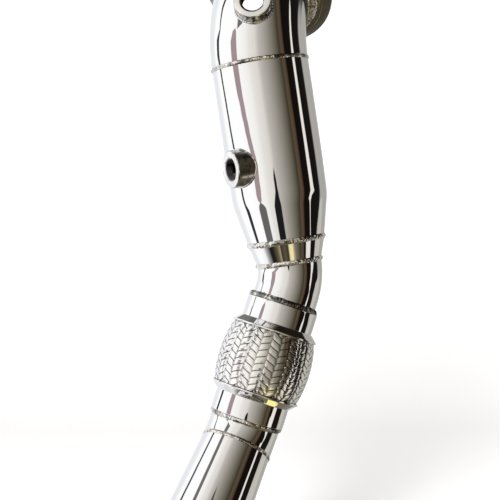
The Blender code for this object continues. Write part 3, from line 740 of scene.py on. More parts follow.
def make_polished_finish():
    """Mirror-polished tube, with faint polishing marks and a straw tint beside the welds."""
    finish = settings().finish
    tree, shader = new_metal("mirror_polish", finish.polished, 0.04)
    smudges = use_group(tree, "smudges", Size=38.0)
    lines = use_group(tree, "tool_lines", Spacing=0.00045, Unevenness=0.8)["Lines"]
    heat = attribute(tree, "scorch")
    tint = math_node(tree, "MULTIPLY", remap(tree, heat, 0.25, 0.95), 0.12)
    tinted = blend_colours(tree, tint, finish.polished, finish.straw)
    tree.links.new(tinted, shader.inputs["Base Color"])
    rubbed = remap(tree, smudges["Patches"], 0.0, 1.0, 0.02, 0.05)
    near_weld = math_node(tree, "MULTIPLY", heat, 0.03)
    tree.links.new(math_node(tree, "ADD", rubbed, near_weld), shader.inputs["Roughness"])
    marks = bump(tree, lines, 0.0000004)
    tree.links.new(bump(tree, smudges["Waves"], 0.00005, marks), shader.inputs["Normal"])


def make_machined_finish(name, base, smooth, rough, groove):
    """Turned steel with the tool's fine grooves, with painted shade where a bore runs in."""
    finish = settings().finish
    tree, shader = new_metal(name, base, rough)
    lines = use_group(tree, "tool_lines", Spacing=0.00032, Unevenness=1.0)["Lines"]
    smudges = use_group(tree, "smudges", Size=70.0)
    worn = tuple(min(1.0, channel * 1.25) for channel in base)
    shade = blend_colours(tree, smudges["Patches"], base, worn)
    place = tree.nodes.new("ShaderNodeTexCoord").outputs["Object"]
    mottled = remap(tree, noise_texture(tree, place, 260.0, 4.0, 0.7), 0.40, 0.62, 0.35, 0.85)
    scaled = math_node(tree, "MULTIPLY", attribute(tree, "scorch"), mottled)
    shade = blend_colours(tree, scaled, shade, finish.soot_and_bore_shade)
    # Painted shade: the bore darkens towards the soot colour, standing in for the shade inside the
    # hole.
    inside = math_node(tree, "MULTIPLY", attribute(tree, "bore"), 0.95)
    tree.links.new(blend_colours(tree, inside, shade, finish.soot_and_bore_shade), shader.inputs["Base Color"])
    smoothness = remap(tree, lines, 0.0, 1.0, smooth, rough)
    tree.links.new(
        math_node(tree, "MULTIPLY_ADD", scaled, 0.15, smoothness), shader.inputs["Roughness"]
    )
    tree.links.new(bump(tree, lines, groove), shader.inputs["Normal"])


def make_weld_finish():
    """Weld metal: clean crests, straw heat colour and dark oxide in the folds."""
    finish = settings().finish
    tree, shader = new_metal("weld_bead", finish.weld, 0.25)
    place = tree.nodes.new("ShaderNodeTexCoord").outputs["Object"]
    fold = attribute(tree, "fold")
    tinted = remap(tree, noise_texture(tree, place, 150.0, 3.0), 0.46, 0.60)
    warm = blend_colours(tree, math_node(tree, "MULTIPLY", tinted, 0.18), finish.weld, finish.straw)
    folds = math_node(tree, "MULTIPLY", remap(tree, fold, 0.35, 0.9), 0.9)
    burnt = remap(tree, noise_texture(tree, place, 180.0, 3.0, 0.6), 0.50, 0.60)
    sooty = math_node(tree, "MAXIMUM", folds, math_node(tree, "MULTIPLY", burnt, 0.7))
    tree.links.new(blend_colours(tree, sooty, warm, finish.soot_and_bore_shade), shader.inputs["Base Color"])
    grain = noise_texture(tree, place, 700.0, 3.0, 0.6)
    tree.links.new(remap(tree, grain, 0.3, 0.7, 0.05, 0.12), shader.inputs["Roughness"])
    tree.links.new(bump(tree, grain, 0.000006), shader.inputs["Normal"])


def make_wire_finish():
    """Bright drawn wire, with painted shade where strips dive under each other and along their
    edges.
    """
    finish = settings().finish
    tree, shader = new_metal("drawn_wire", finish.wire, 0.24)
    place = tree.nodes.new("ShaderNodeTexCoord").outputs["Object"]
    depth = attribute(tree, "depth")
    shade_under_strips = tuple(channel * 0.10 for channel in finish.wire)
    rubbed = tuple(channel * 0.90 for channel in finish.wire)
    patchy = remap(tree, noise_texture(tree, place, 160.0, 2.0), 0.45, 0.65)
    bright = blend_colours(tree, patchy, finish.wire, rubbed)
    # Painted shade: the depth mark darkens the wire to a tenth, under crossing strips and along
    # strip edges.
    tree.links.new(blend_colours(tree, depth, bright, shade_under_strips), shader.inputs["Base Color"])
    drawn = noise_texture(tree, place, 2200.0, 2.0)
    tree.links.new(remap(tree, drawn, 0.3, 0.7, 0.10, 0.18), shader.inputs["Roughness"])


def make_liner_finish():
    """Dull formed strip with rolling lines."""
    finish = settings().finish
    tree, shader = new_metal("formed_strip", finish.liner, 0.38)
    lines = use_group(tree, "tool_lines", Spacing=0.0006, Unevenness=1.2)["Lines"]
    smudges = use_group(tree, "smudges", Size=55.0)
    sooted = tuple(channel * 0.5 for channel in finish.liner)
    shade = blend_colours(tree, smudges["Patches"], finish.liner, sooted)
    tree.links.new(shade, shader.inputs["Base Color"])
    tree.links.new(remap(tree, lines, 0.0, 1.0, 0.32, 0.46), shader.inputs["Roughness"])
    tree.links.new(bump(tree, lines, 0.00002), shader.inputs["Normal"])


# Weld beads


class BeadSection:
    """Section of a bead between two toes, with the way it swells and the way it lies across."""

    def __init__(self, upper_toe, lower_toe, crown, sink, points=9):
        a = Vector(upper_toe)
        b = Vector(lower_toe)
        run = (b - a).normalized()
        self.out = Vector((-run.y, run.x))
        if self.out.x < 0.0:
            self.out = -self.out
        self.crown = crown
        self.rows = []
        for i in range(points):
            t = -1.0 + 2.0 * i / (points - 1)
            self.rows.append((a.lerp(b, (t + 1.0) / 2.0), t, 1.0 - t * t))
        self.rows.append((a.lerp(b, 0.5) - self.out * sink, 0.0, -1.0))


class Laying:
    """How a bead was laid: its coins' spacing, its lumps and scale, and a seed for their places."""

    def __init__(self, coin, lumpiness, oxide, seed):
        self.coin = coin
        self.lumpiness = lumpiness
        self.oxide = oxide
        self.seed = seed


def lay_bead(name, node, section, radius, place, laying):
    """A hand-laid bead round a joint: overlapping coins whose height and place wander a little."""
    lumpiness = laying.lumpiness
    seed = laying.seed
    coins = max(8, round(math.tau * radius / laying.coin))
    steps = coins * 9
    bm = bmesh.new()
    across = bm.verts.layers.float.new("across")
    swell = bm.verts.layers.float.new("swell")
    fold = bm.verts.layers.float.new("fold")
    verts = []
    for point, t, height in section.rows:
        vert = bm.verts.new((point.x, 0.0, point.y))
        vert[across] = t
        vert[swell] = height
        verts.append(vert)
    edges = [bm.edges.new((verts[i], verts[(i + 1) % len(verts)])) for i in range(len(verts))]
    bmesh.ops.spin(
        bm, geom=verts + edges, cent=(0, 0, 0), axis=(0, 0, 1), angle=math.tau, steps=steps,
        use_merge=True,
    )
    bmesh.ops.remove_doubles(bm, verts=bm.verts, dist=MERGE_DISTANCE)
    bmesh.ops.recalc_face_normals(bm, faces=bm.faces)
    for vert in bm.verts:
        if vert[swell] < 0.0:
            continue
        angle = math.atan2(vert.co.y, vert.co.x)
        outward = Vector((math.cos(angle), math.sin(angle), 0.0))
        ring = outward * coins / 12.0
        wander = noise.noise(ring + Vector((0.0, 0.0, seed)))
        blob = noise.noise(ring * 2.3 + Vector((0.0, 0.0, seed + 9.0)))
        phase = coins * angle / math.tau + 0.42 * vert[across] ** 2 + 0.5 * wander
        coin_share = abs(math.cos(math.pi * phase))
        lump = 1.0 + lumpiness * (wander + 0.6 * blob)
        lift = section.crown * vert[swell] * (1.0 - 0.45 * lumpiness * (1.0 - coin_share)) * lump
        slide = 0.18 * section.crown * blob * (1.0 + 2.0 * lumpiness)
        vert.co += outward * section.out.x * lift
        vert.co.z += section.out.y * lift + slide
        patches = noise.noise(ring * 0.8 + Vector((seed, 0.0, 0.0)))
        scaled = laying.oxide * (0.75 + 0.9 * patches)
        vert[fold] = max(lumpiness * (1.0 - coin_share) ** 3, vert[across] ** 6, scaled)
    obj = put_in_scene(name, bm, place)
    return finish_piece(obj, node, "weld_metal", SHARP_ANGLE_OF_BEADS)


def girth_bead(node, radius, rise_above, rise_below, wide, place, laying):
    """A crowned bead over a butt joint between two tubes that may widen away from it."""
    welds = settings().welds
    half = welds.width * wide / 2.0
    middle = settings().run.gap / 2.0
    upper = (radius + rise_above * half - TOE_SINK, middle + half)
    lower = (radius + rise_below * half - TOE_SINK, middle - half)
    section = BeadSection(upper, lower, welds.crown * wide + TOE_SINK, GIRTH_ROOT)
    lay_bead(node + "_rippled", node, section, radius, place, laying)


def fillet_bead(node, tube_radius, face, leg, reach, crown, towards, place, laying):
    """A fillet bead in the corner between a tube and the end face of a wider ring."""
    on_ring = (tube_radius + reach, face - towards * TOE_SINK)
    on_tube = (tube_radius - TOE_SINK, face + towards * leg)
    toes = (on_ring, on_tube) if towards < 0.0 else (on_tube, on_ring)
    section = BeadSection(*toes, crown, FILLET_ROOT)
    lay_bead(node + "_rippled", node, section, tube_radius, place, laying)


def saddle(axes, ring_radius, tube_radius, off_centre_line, points):
    """Closed line on a tube's surface at a ring radius from a bung's axis."""
    axis = axes.to_3x3() @ Vector((0.0, 0.0, 1.0))
    line = []
    for number in range(points):
        angle = math.tau * number / points
        point = axes @ Vector((ring_radius * math.cos(angle), ring_radius * math.sin(angle), 0.0))
        for _ in range(30):
            point = point - axis * (off_centre_line(point) - tube_radius)
        line.append(point)
    return line


def bung_bead(name, node, axes, off_centre_line, place, seed):
    """The rippled bead round a bung's foot, following the tube."""
    bungs = settings().bungs
    body_radius = settings().tubes.body_radius
    coins = 40
    points = coins * 8
    ring = bungs.radius + bungs.weld_radius * 0.1
    curve = bpy.data.curves.new(name, "CURVE")
    curve.dimensions = "3D"
    curve.bevel_depth = bungs.weld_radius
    curve.bevel_resolution = 3
    spline = curve.splines.new("POLY")
    spline.points.add(points - 1)
    for number, point in enumerate(saddle(axes, ring, body_radius, off_centre_line, points)):
        coin_share = abs(math.cos(math.pi * coins * number / points))
        angle = math.tau * number / points
        wander = noise.noise(Vector((2.5 * math.cos(angle), 2.5 * math.sin(angle), seed)))
        spline.points[number].co = (*point, 1.0)
        spline.points[number].radius = (0.86 + 0.14 * coin_share) * (1.0 + 0.45 * wander)
    spline.use_cyclic_u = True
    guide = bpy.data.objects.new(name + "_line", curve)
    bpy.context.scene.collection.objects.link(guide)
    graph = bpy.context.evaluated_depsgraph_get()
    mesh = bpy.data.meshes.new_from_object(guide.evaluated_get(graph))
    remove(guide)
    bm = bmesh.new()
    bm.from_mesh(mesh)
    bmesh.ops.remove_doubles(bm, verts=bm.verts, dist=MERGE_DISTANCE)
    bmesh.ops.recalc_face_normals(bm, faces=bm.faces)
    fold = bm.verts.layers.float.new("fold")
    for vert in bm.verts:
        local = axes.inverted() @ vert.co
        angle = math.atan2(local.y, local.x)
        vert[fold] = (1.0 - abs(math.cos(coins * angle / 2.0))) ** 3 * 0.7
    obj = put_in_scene(name, bm, place)
    finish_piece(obj, node, "weld_metal", SHARP_ANGLE_OF_BEADS)


class DOWNPIPE_OT_finishes(Operator):
    """Make the metal finishes and the effects that they share"""

    bl_idname = "downpipe.finishes"
    bl_label = "Finishes"

    def execute(self, context):
        make_tool_lines_group()
        make_smudges_group()
        make_upright_group()
        make_polished_finish()
        finish = settings().finish
        make_machined_finish("coarse_turned", finish.machined_in_painted_shade, 0.14, 0.26, 0.000012)
        make_machined_finish("fine_turned", finish.turned, 0.06, 0.14, 0.000003)
        make_weld_finish()
        make_wire_finish()
        make_liner_finish()
        return {"FINISHED"}


class DOWNPIPE_OT_flange(Operator):
    """Build the turned clamp flange at the inlet"""

    bl_idname = "downpipe.flange"
    bl_label = "Inlet flange"

    def execute(self, context):
        flange = settings().flange
        tubes = settings().tubes
        gap = settings().run.gap
        bore = tubes.body_radius - tubes.wall
        counterbore = tubes.body_radius + gap
        register = tubes.body_radius + flange.register_width
        shoulder = tubes.body_radius + flange.shoulder_width
        rim = shoulder + flange.rim_width
        edge = flange.edge
        corners = [
            (register, -flange.register_depth, edge * 0.4),
            (register, 0.0, edge * 0.6),
            (rim, 0.0, edge),
            (rim, -flange.rim_thickness, edge),
            (shoulder, -flange.thickness, edge),
            (counterbore, -flange.thickness, edge * 0.4),
            (counterbore, -flange.tube_stop, 0.0),
            (bore, -flange.tube_stop, edge * 0.4),
            (bore, -flange.register_depth, edge * 0.6),
        ]
        bm = spin_outline(with_broken_edges(corners), tubes.sides)
        obj = put_in_scene("inlet_flange_turned", bm, Route().inlet)
        finish_piece(obj, "inlet_flange", "machined_stainless")
        return {"FINISHED"}


class DOWNPIPE_OT_upper_tubes(Operator):
    """Build the polished elbow, body and reducer ring"""

    bl_idname = "downpipe.upper_tubes"
    bl_label = "Elbow and body"

    def execute(self, context):
        route = Route()
        run = settings().run
        tubes = settings().tubes
        lead = run.inlet_straight - settings().flange.tube_stop - run.gap
        start = -run.inlet_straight + settings().flange.thickness
        bend_length = route.elbow.radius * route.elbow.angle
        elbow = bent_tube(
            "inlet_elbow_polished", tubes.body_radius, lead, route.elbow, 0.0, route.elbow_top,
            (start, bend_length),
        )
        set_modifiers(elbow)
        drill(elbow, route.elbow_top @ upper_bung_place(route))
        finish_piece(elbow, "inlet_elbow", "polished_stainless")

        body = turned_tube("body_tube_polished", body_outline(), route.body_top, body_joints())
        set_modifiers(body)
        drill(body, route.body_top @ lower_bung_place())
        finish_piece(body, "body_tube", "polished_stainless")

        ends = (tubes.neck_radius, 0.0), (tubes.bend_radius, -run.reducer_length)
        outline = [*straight_rows(*ends, tubes.ring_step / 2.0), ends[1]]
        slant = math.dist(*ends)
        ring = turned_tube("reducer_ring_polished", outline, route.reducer_top, (0.0, slant))
        set_modifiers(ring)
        finish_piece(ring, "reducer_ring", "polished_stainless")
        return {"FINISHED"}


def body_outline():
    """Outer outline of the body: straight, drawn in a little, then turned softly into its taper."""
    run = settings().run
    tubes = settings().tubes
    drawn = tubes.body_radius - tubes.draw_in
    start = (tubes.body_radius, 0.0)
    drawing = (tubes.body_radius, -run.body_straight + tubes.draw_in_length)
    corner = (drawn, -run.body_straight)
    neck = (tubes.neck_radius, -run.body_straight - run.neck_length)
    sag = eased(start, drawing, corner, tubes.draw_in_length * 0.5, 8)
    bend = eased(drawing, corner, neck, tubes.swage_ease, 10)
    return [
        *straight_rows(start, sag[0], tubes.ring_step),
        *sag[:-1],
        *straight_rows(sag[-1], bend[0], tubes.ring_step),
        *bend[:-1],
        *straight_rows(bend[-1], neck, tubes.ring_step),
        neck,
    ]


def body_joints():
    """Ways along the body's outline at which it is welded."""
    outline = body_outline()
    return 0.0, sum(math.dist(a, b) for a, b in zip(outline, outline[1:]))


class DOWNPIPE_OT_lower_tubes(Operator):
    """Build the polished bend tube, outlet link and outlet pipe"""

    bl_idname = "downpipe.lower_tubes"
    bl_label = "Bend tube and outlet"

    def execute(self, context):
        route = Route()
        run = settings().run
        tubes = settings().tubes
        bend_length = route.bend.radius * route.bend.angle
        bend = bent_tube(
            "bend_tube_polished", tubes.bend_radius, 0.0, route.bend, run.bend_tail + tubes.socket,
            route.bend_top, (0.0, bend_length + run.bend_tail),
        )
        set_modifiers(bend)
        finish_piece(bend, "bend_tube", "polished_stainless")
        link_length = route.link.radius * route.link.angle
        link = bent_tube(
            "outlet_link_polished", tubes.link_radius, tubes.socket, route.link, 0.0,
            route.link_top, (0.0, link_length),
        )
        set_modifiers(link)
        finish_piece(link, "outlet_link", "polished_stainless")

        start = (tubes.link_radius, 0.0)
        flared = (tubes.outlet_radius, -run.flare_length)
        end = (tubes.outlet_radius, -run.flare_length - run.outlet_straight)
        soft = eased(start, flared, end, tubes.flare_ease, 12)
        outline = [
            *straight_rows(start, soft[0], tubes.ring_step),
            *soft[:-1],
            *straight_rows(soft[-1], end, tubes.ring_step),
            end,
        ]
        outlet = turned_tube("outlet_pipe_polished", outline, route.outlet_top, (0.0,))
        set_modifiers(outlet)
        finish_piece(outlet, "outlet_pipe", "polished_stainless")
        return {"FINISHED"}


class DOWNPIPE_OT_bungs(Operator):
    """Build the two threaded sensor bungs and the beads round their feet"""

    bl_idname = "downpipe.bungs"
    bl_label = "Sensor bungs"

    def execute(self, context):
        route = Route()
        run = settings().run
        tubes = settings().tubes
        seat = tubes.body_radius + run.gap * 0.3
        body_end = -run.body_straight - run.neck_length
        bar = round_bar("body_bar", seat, body_end, 0.0, route.body_top, CUTTER_SIDES)
        self.build_bung("lower_sensor_bung", route.body_top @ lower_bung_place(), bar)
        remove(bar)
        bm = bmesh.new()
        tube_skin(bm, seat, 0.0, route.elbow, 0.0, CUTTER_SIDES)
        bmesh.ops.holes_fill(bm, edges=bm.edges, sides=0)
        bmesh.ops.recalc_face_normals(bm, faces=bm.faces)
        bar = put_in_scene("elbow_bar", bm, route.elbow_top)
        self.build_bung("upper_sensor_bung", route.elbow_top @ upper_bung_place(route), bar)
        remove(bar)
        bung_bead(
            "lower_bung_weld_rippled", "lower_bung_weld", lower_bung_place(), off_straight_line,
            route.body_top, 3.0,
        )
        bung_bead(
            "upper_bung_weld_rippled", "upper_bung_weld", upper_bung_place(route),
            route.elbow.off_centre_line, route.elbow_top, 8.0,
        )
        return {"FINISHED"}

    def build_bung(self, node, place, bar):
        """A threaded boss coped to its tube."""
        bungs = settings().bungs
        foot = -bungs.radius
        crest = bungs.bore - bungs.thread_depth / 2.0
        root = bungs.bore + bungs.thread_depth / 2.0
        edge = bungs.chamfer
        corners = [
            (root + edge, bungs.height, edge * 0.2),
            (bungs.radius - edge, bungs.height, edge * 0.3),
            (bungs.radius, bungs.height - edge, edge * 0.3),
            (bungs.radius, foot, 0.0),
            (crest, foot, 0.0),
        ]
        turns = int((bungs.height - edge - foot) / bungs.thread_pitch)
        for number in range(turns):
            low = foot + (number + 0.5) * bungs.thread_pitch
            corners.append((crest, low, 0.0))
            corners.append((root, low + bungs.thread_pitch * 0.45, 0.0))
            corners.append((root, low + bungs.thread_pitch * 0.55, 0.0))
        corners.append((crest, bungs.height - edge, 0.0))
        bm = spin_outline(with_broken_edges(corners), BUNG_SIDES)
        obj = put_in_scene(node + "_turned", bm, place)
        cut_away(obj, bar)
        set_modifiers(obj)
        self.mark_surfaces(obj, place)
        finish_piece(obj, node, "machined_stainless", finish="fine_turned")

    def mark_surfaces(self, obj, place):
        """Tells the finish where the bore with its painted shade and the scaled flank are, and how
        the tool ran.
        """
        bungs = settings().bungs
        bore_shade_edge = bungs.bore + (bungs.thread_depth + bungs.chamfer) / 2.0
        flank_edge = bungs.radius - bungs.chamfer * 0.4
        to_bung = place.inverted()
        marks = obj.data.attributes
        for name in ("bore", "scorch", "along"):
            if name not in marks:
                marks.new(name, "FLOAT", "POINT")
        for vert in obj.data.vertices:
            spot = to_bung @ vert.co
            from_axis = math.hypot(spot.x, spot.y)
            below_face = spot.z < bungs.height - bungs.chamfer * 0.5
            # The bore mark tells the finish where to paint shade inside the hole.
            marks["bore"].data[vert.index].value = float(below_face and from_axis < bore_shade_edge)
            marks["scorch"].data[vert.index].value = float(below_face and from_axis > flank_edge)
            marks["along"].data[vert.index].value = from_axis + spot.z


class DOWNPIPE_OT_welds(Operator):
    """Lay the beads at the flange, the tube joints and the collars"""

    bl_idname = "downpipe.welds"
    bl_label = "Weld beads"

    def execute(self, context):
        route = Route()
        run = settings().run
        tubes = settings().tubes
        flange = settings().flange
        flex = settings().flex
        welds = settings().welds
        neck_rise = (tubes.body_radius - tubes.neck_radius) / run.neck_length
        ring_rise = (tubes.neck_radius - tubes.bend_radius) / run.reducer_length
        flare_rise = (tubes.outlet_radius - tubes.link_radius) / run.flare_length
        on_flange = min(flange.shoulder_width, welds.flange_leg * 1.3)
        fillet_bead(
            "inlet_flange_weld", tubes.body_radius, -flange.thickness, welds.flange_leg,
            on_flange, 0.0013, -1.0, route.inlet,
            Laying(coin=welds.coin * 2.0, lumpiness=1.0, oxide=0.3, seed=2.0),
        )
        girth_bead(
            "elbow_weld", tubes.body_radius, 0.0, 0.0, 0.75, route.body_top,
            Laying(coin=welds.coin * 1.3, lumpiness=0.35, oxide=0.7, seed=11.0),
        )
        girth_bead(
            "body_weld", tubes.neck_radius, neck_rise, -ring_rise, 1.0, route.reducer_top,
            Laying(coin=welds.coin * 2.2, lumpiness=0.75, oxide=0.3, seed=17.0),
        )
        girth_bead(
            "reducer_weld", tubes.bend_radius, ring_rise, 0.0, 0.9, route.bend_top,
            Laying(coin=welds.coin * 2.2, lumpiness=0.75, oxide=0.35, seed=23.0),
        )
        girth_bead(
            "outlet_weld", tubes.link_radius, 0.0, flare_rise, 0.7, route.outlet_top,
            Laying(coin=welds.coin * 1.4, lumpiness=0.3, oxide=0.6, seed=31.0),
        )
        fillet_bead(
            "flex_inlet_weld", tubes.bend_radius, 0.0, welds.collar_leg,
            flex.inlet_collar_wall - 0.0004, 0.0012, 1.0, route.flex_top,
            Laying(coin=welds.coin * 1.6, lumpiness=1.0, oxide=0.85, seed=37.0),
        )
        fillet_bead(
            "flex_outlet_weld", tubes.link_radius, -run.flex_length, welds.collar_leg * 0.9,
            flex.outlet_collar_wall - 0.0002, 0.0009, -1.0, route.flex_top,
            Laying(coin=welds.coin * 2.2, lumpiness=0.8, oxide=0.6, seed=43.0),
        )
        return {"FINISHED"}


def inlet_collar_radius():
    return settings().tubes.bend_radius + settings().flex.inlet_collar_wall


def outlet_collar_radius():
    return settings().tubes.link_radius + settings().flex.outlet_collar_wall


def lip_depth():
    """How far a cap's lip ends from its end of the coupling."""
    flex = settings().flex
    return flex.collar_showing + flex.shoulder_length + flex.lip_length


def collar_length():
    return lip_depth() + settings().flex.collar_tuck


class DOWNPIPE_OT_collars(Operator):
    """Build the polished collars and the pressed caps that hold the braid"""

    bl_idname = "downpipe.collars"
    bl_label = "Collars and caps"

    def execute(self, context):
        place = Route().flex_top
        length = settings().run.flex_length
        tubes = settings().tubes
        inlet = self.collar_corners(inlet_collar_radius(), tubes.bend_radius)
        outlet = upside_down(self.collar_corners(outlet_collar_radius(), tubes.link_radius), length)
        self.turn_piece("flex_inlet_collar", inlet, place)
        self.turn_piece("flex_outlet_collar", outlet, place)
        self.turn_piece("flex_inlet_cap", self.cap_corners(inlet_collar_radius()), place)
        outlet_cap = upside_down(self.cap_corners(outlet_collar_radius()), length)
        self.turn_piece("flex_outlet_cap", outlet_cap, place)
        return {"FINISHED"}

    def collar_corners(self, outer, tube):
        """A collar with a rounded outer end."""
        bore = tube + settings().run.gap
        edge = (outer - bore) * 0.3
        length = collar_length()
        return [
            (outer, 0.0, edge),
            (outer, -length * 0.33, 0.0),
            (outer, -length * 0.66, 0.0),
            (outer, -length, edge * 0.5),
            (bore, -length, 0.0),
            (bore, 0.0, 0.0),
        ]

    def cap_corners(self, collar):
        """A cap: conical shoulder off the collar and a rolled lip round the braid."""
        flex = settings().flex
        seat = collar + settings().run.gap
        top = -flex.collar_showing
        sheet = flex.cap_thickness
        shoulder_end = top - flex.shoulder_length
        wide = seat + flex.shoulder_rise
        lip = wide + flex.lip_step
        end = -lip_depth()
        return [
            (seat, top, sheet * 0.2),
            (seat + sheet * 0.5, top, sheet * 0.4),
            (wide, shoulder_end, sheet * 0.7),
            (lip, shoulder_end - flex.lip_length * 0.3, sheet * 0.6),
            (lip, end, sheet * 0.5),
            (lip - sheet, end, sheet * 0.4),
            (lip - sheet, shoulder_end - sheet, sheet * 0.6),
            (seat, top - sheet, 0.0),
        ]

    def turn_piece(self, node, corners, place):
        bm = spin_outline(with_broken_edges(corners, 4), settings().tubes.sides)
        obj = put_in_scene(node + "_polished", bm, place)
        finish_piece(obj, node, "polished_stainless")


def braid_radius(share_down):
    """Outer radius of the braid at a share of the way from the inlet lip to the outlet lip."""
    flex = settings().flex
    edge = settings().run.gap + flex.shoulder_rise - flex.cap_thickness
    inlet = inlet_collar_radius() + edge
    outlet = outlet_collar_radius() + edge
    down_pipe = min(1.0, max(0.0, share_down))
    barrel = 1.0 - abs(2.0 * down_pipe - 1.0) ** 2.2
    return inlet + (outlet - inlet) * down_pipe + flex.bulge * barrel


class DOWNPIPE_OT_braid(Operator):
    """Weave the braid from leaning strips of wire, two over and two under"""

    bl_idname = "downpipe.braid"
    bl_label = "Woven braid"

    steps_to_a_column = 6
    tuck = 0.0006

    def execute(self, context):
        flex = settings().flex
        length = settings().run.flex_length - 2.0 * lip_depth()
        pitch = length / flex.rows
        bm = bmesh.new()
        self.relief = bm.verts.layers.float.new("relief")
        self.lean = bm.verts.layers.float.new("lean")
        self.edge = bm.verts.layers.float.new("edge")
        # The depth mark holds painted shade for the wire finish.
        depth = bm.verts.layers.float.new("depth")
        for lean in (1.0, -1.0):
            self.add_strips(bm, lean, pitch, length)
        for vert in bm.verts:
            self.place_vertex(vert, depth, length)
        bmesh.ops.recalc_face_normals(bm, faces=bm.faces)
        obj = put_in_scene("flex_braid_woven", bm, Route().flex_top)
        finish_piece(obj, "flex_braid", "braid_wire", SHARP_ANGLE_OF_BRAID)
        return {"FINISHED"}

    def section(self, pitch):
        """Section of a strip as (height, relief): wires side by side over a flat underside."""
        flex = settings().flex
        width = pitch * flex.strip_fill
        half = flex.strip_thickness / 2.0
        wire = width / flex.wires
        points = []
        for number in range(flex.wires):
            low = -width / 2.0 + number * wire
            across = abs(2.0 * (number + 0.5) / flex.wires - 1.0)
            crown = half * (1.0 - 0.80 * across**2)
            points.append((low, crown - flex.wire_groove))
            points.append((low + wire * 0.28, crown))
            points.append((low + wire * 0.72, crown))
        points.append((width / 2.0, half * 0.15 - flex.wire_groove))
        points.append((width / 2.0, -half))
        points.append((-width / 2.0, -half))
        return points

    def add_strips(self, bm, lean, pitch, length):
        """Sweeps one strip up the braid and copies it round."""
        flex = settings().flex
        column = math.tau / flex.columns
        columns_crossed = (length + 2.0 * self.tuck) / pitch
        steps = round(columns_crossed * self.steps_to_a_column)
        bottom = -length - lip_depth() - self.tuck
        radius = braid_radius(0.5)
        verts = []
        offset = 0.0 if lean > 0.0 else pitch / 2.0
        start_angle = lean * (bottom - offset) / pitch * column
        turn_to_start = Matrix.Rotation(start_angle, 3, "Z")
        for height, relief in self.section(pitch):
            vert = bm.verts.new(turn_to_start @ Vector((radius, 0.0, bottom + height)))
            vert[self.relief] = relief
            vert[self.lean] = lean
            vert[self.edge] = (2.0 * abs(height) / (pitch * flex.strip_fill)) ** 14
            verts.append(vert)
        edges = [bm.edges.new((verts[i], verts[(i + 1) % len(verts)])) for i in range(len(verts))]
        rise = Vector((0.0, 0.0, columns_crossed * pitch / steps))
        angle = lean * columns_crossed * column
        swept = bmesh.ops.spin(
            bm, geom=verts + edges, cent=(0, 0, 0), axis=(0, 0, 1), dvec=rise, angle=angle,
            steps=steps,
        )
        last = [item for item in swept["geom_last"] if isinstance(item, bmesh.types.BMEdge)]
        bmesh.ops.contextual_create(bm, geom=edges)
        bmesh.ops.contextual_create(bm, geom=last)
        strip = [item for item in bm.verts if item[self.lean] == lean]
        faces = list({face for vert in strip for face in vert.link_faces})
        strip_edges = list({edge for vert in strip for edge in vert.link_edges})
        for number in range(1, flex.columns):
            copy = bmesh.ops.duplicate(bm, geom=strip + strip_edges + faces)["geom"]
            copied = [item for item in copy if isinstance(item, bmesh.types.BMVert)]
            spot = Matrix.Rotation(number * column, 3, "Z")
            bmesh.ops.rotate(bm, cent=(0, 0, 0), matrix=spot, verts=copied)

    def place_vertex(self, vert, depth, length):
        """Moves a vertex to the barrel, over or under the strips that lean the other way."""
        flex = settings().flex
        angle = math.atan2(vert.co.y, vert.co.x)
        column = math.tau / flex.columns
        turn = math.pi * (angle / column - 0.5)
        wave = math.cos(turn) * vert[self.lean]
        plateau = math.tanh(3.0 * wave) / math.tanh(3.0)
        way = -vert.co.z - lip_depth()
        pitch = length / flex.rows
        near_end = min(way, length - way) / pitch
        free = min(1.0, max(0.0, near_end))
        vert.co.z -= free * flex.strip_flatness * pitch / math.pi * math.sin(turn)
        ease = min(1.0, max(0.25, 0.35 + near_end))
        top = flex.strip_lift + flex.strip_thickness / 2.0
        middle = braid_radius(way / length) - top
        radius = middle + flex.strip_lift * plateau * ease + vert[self.relief]
        vert.co.x = radius * math.cos(angle)
        vert.co.y = radius * math.sin(angle)
        # Painted shade share: high where a strip dives under the others and along its edges.
        vert[depth] = min(1.0, max(0.0, 0.30 - 0.60 * plateau, vert[self.edge]))


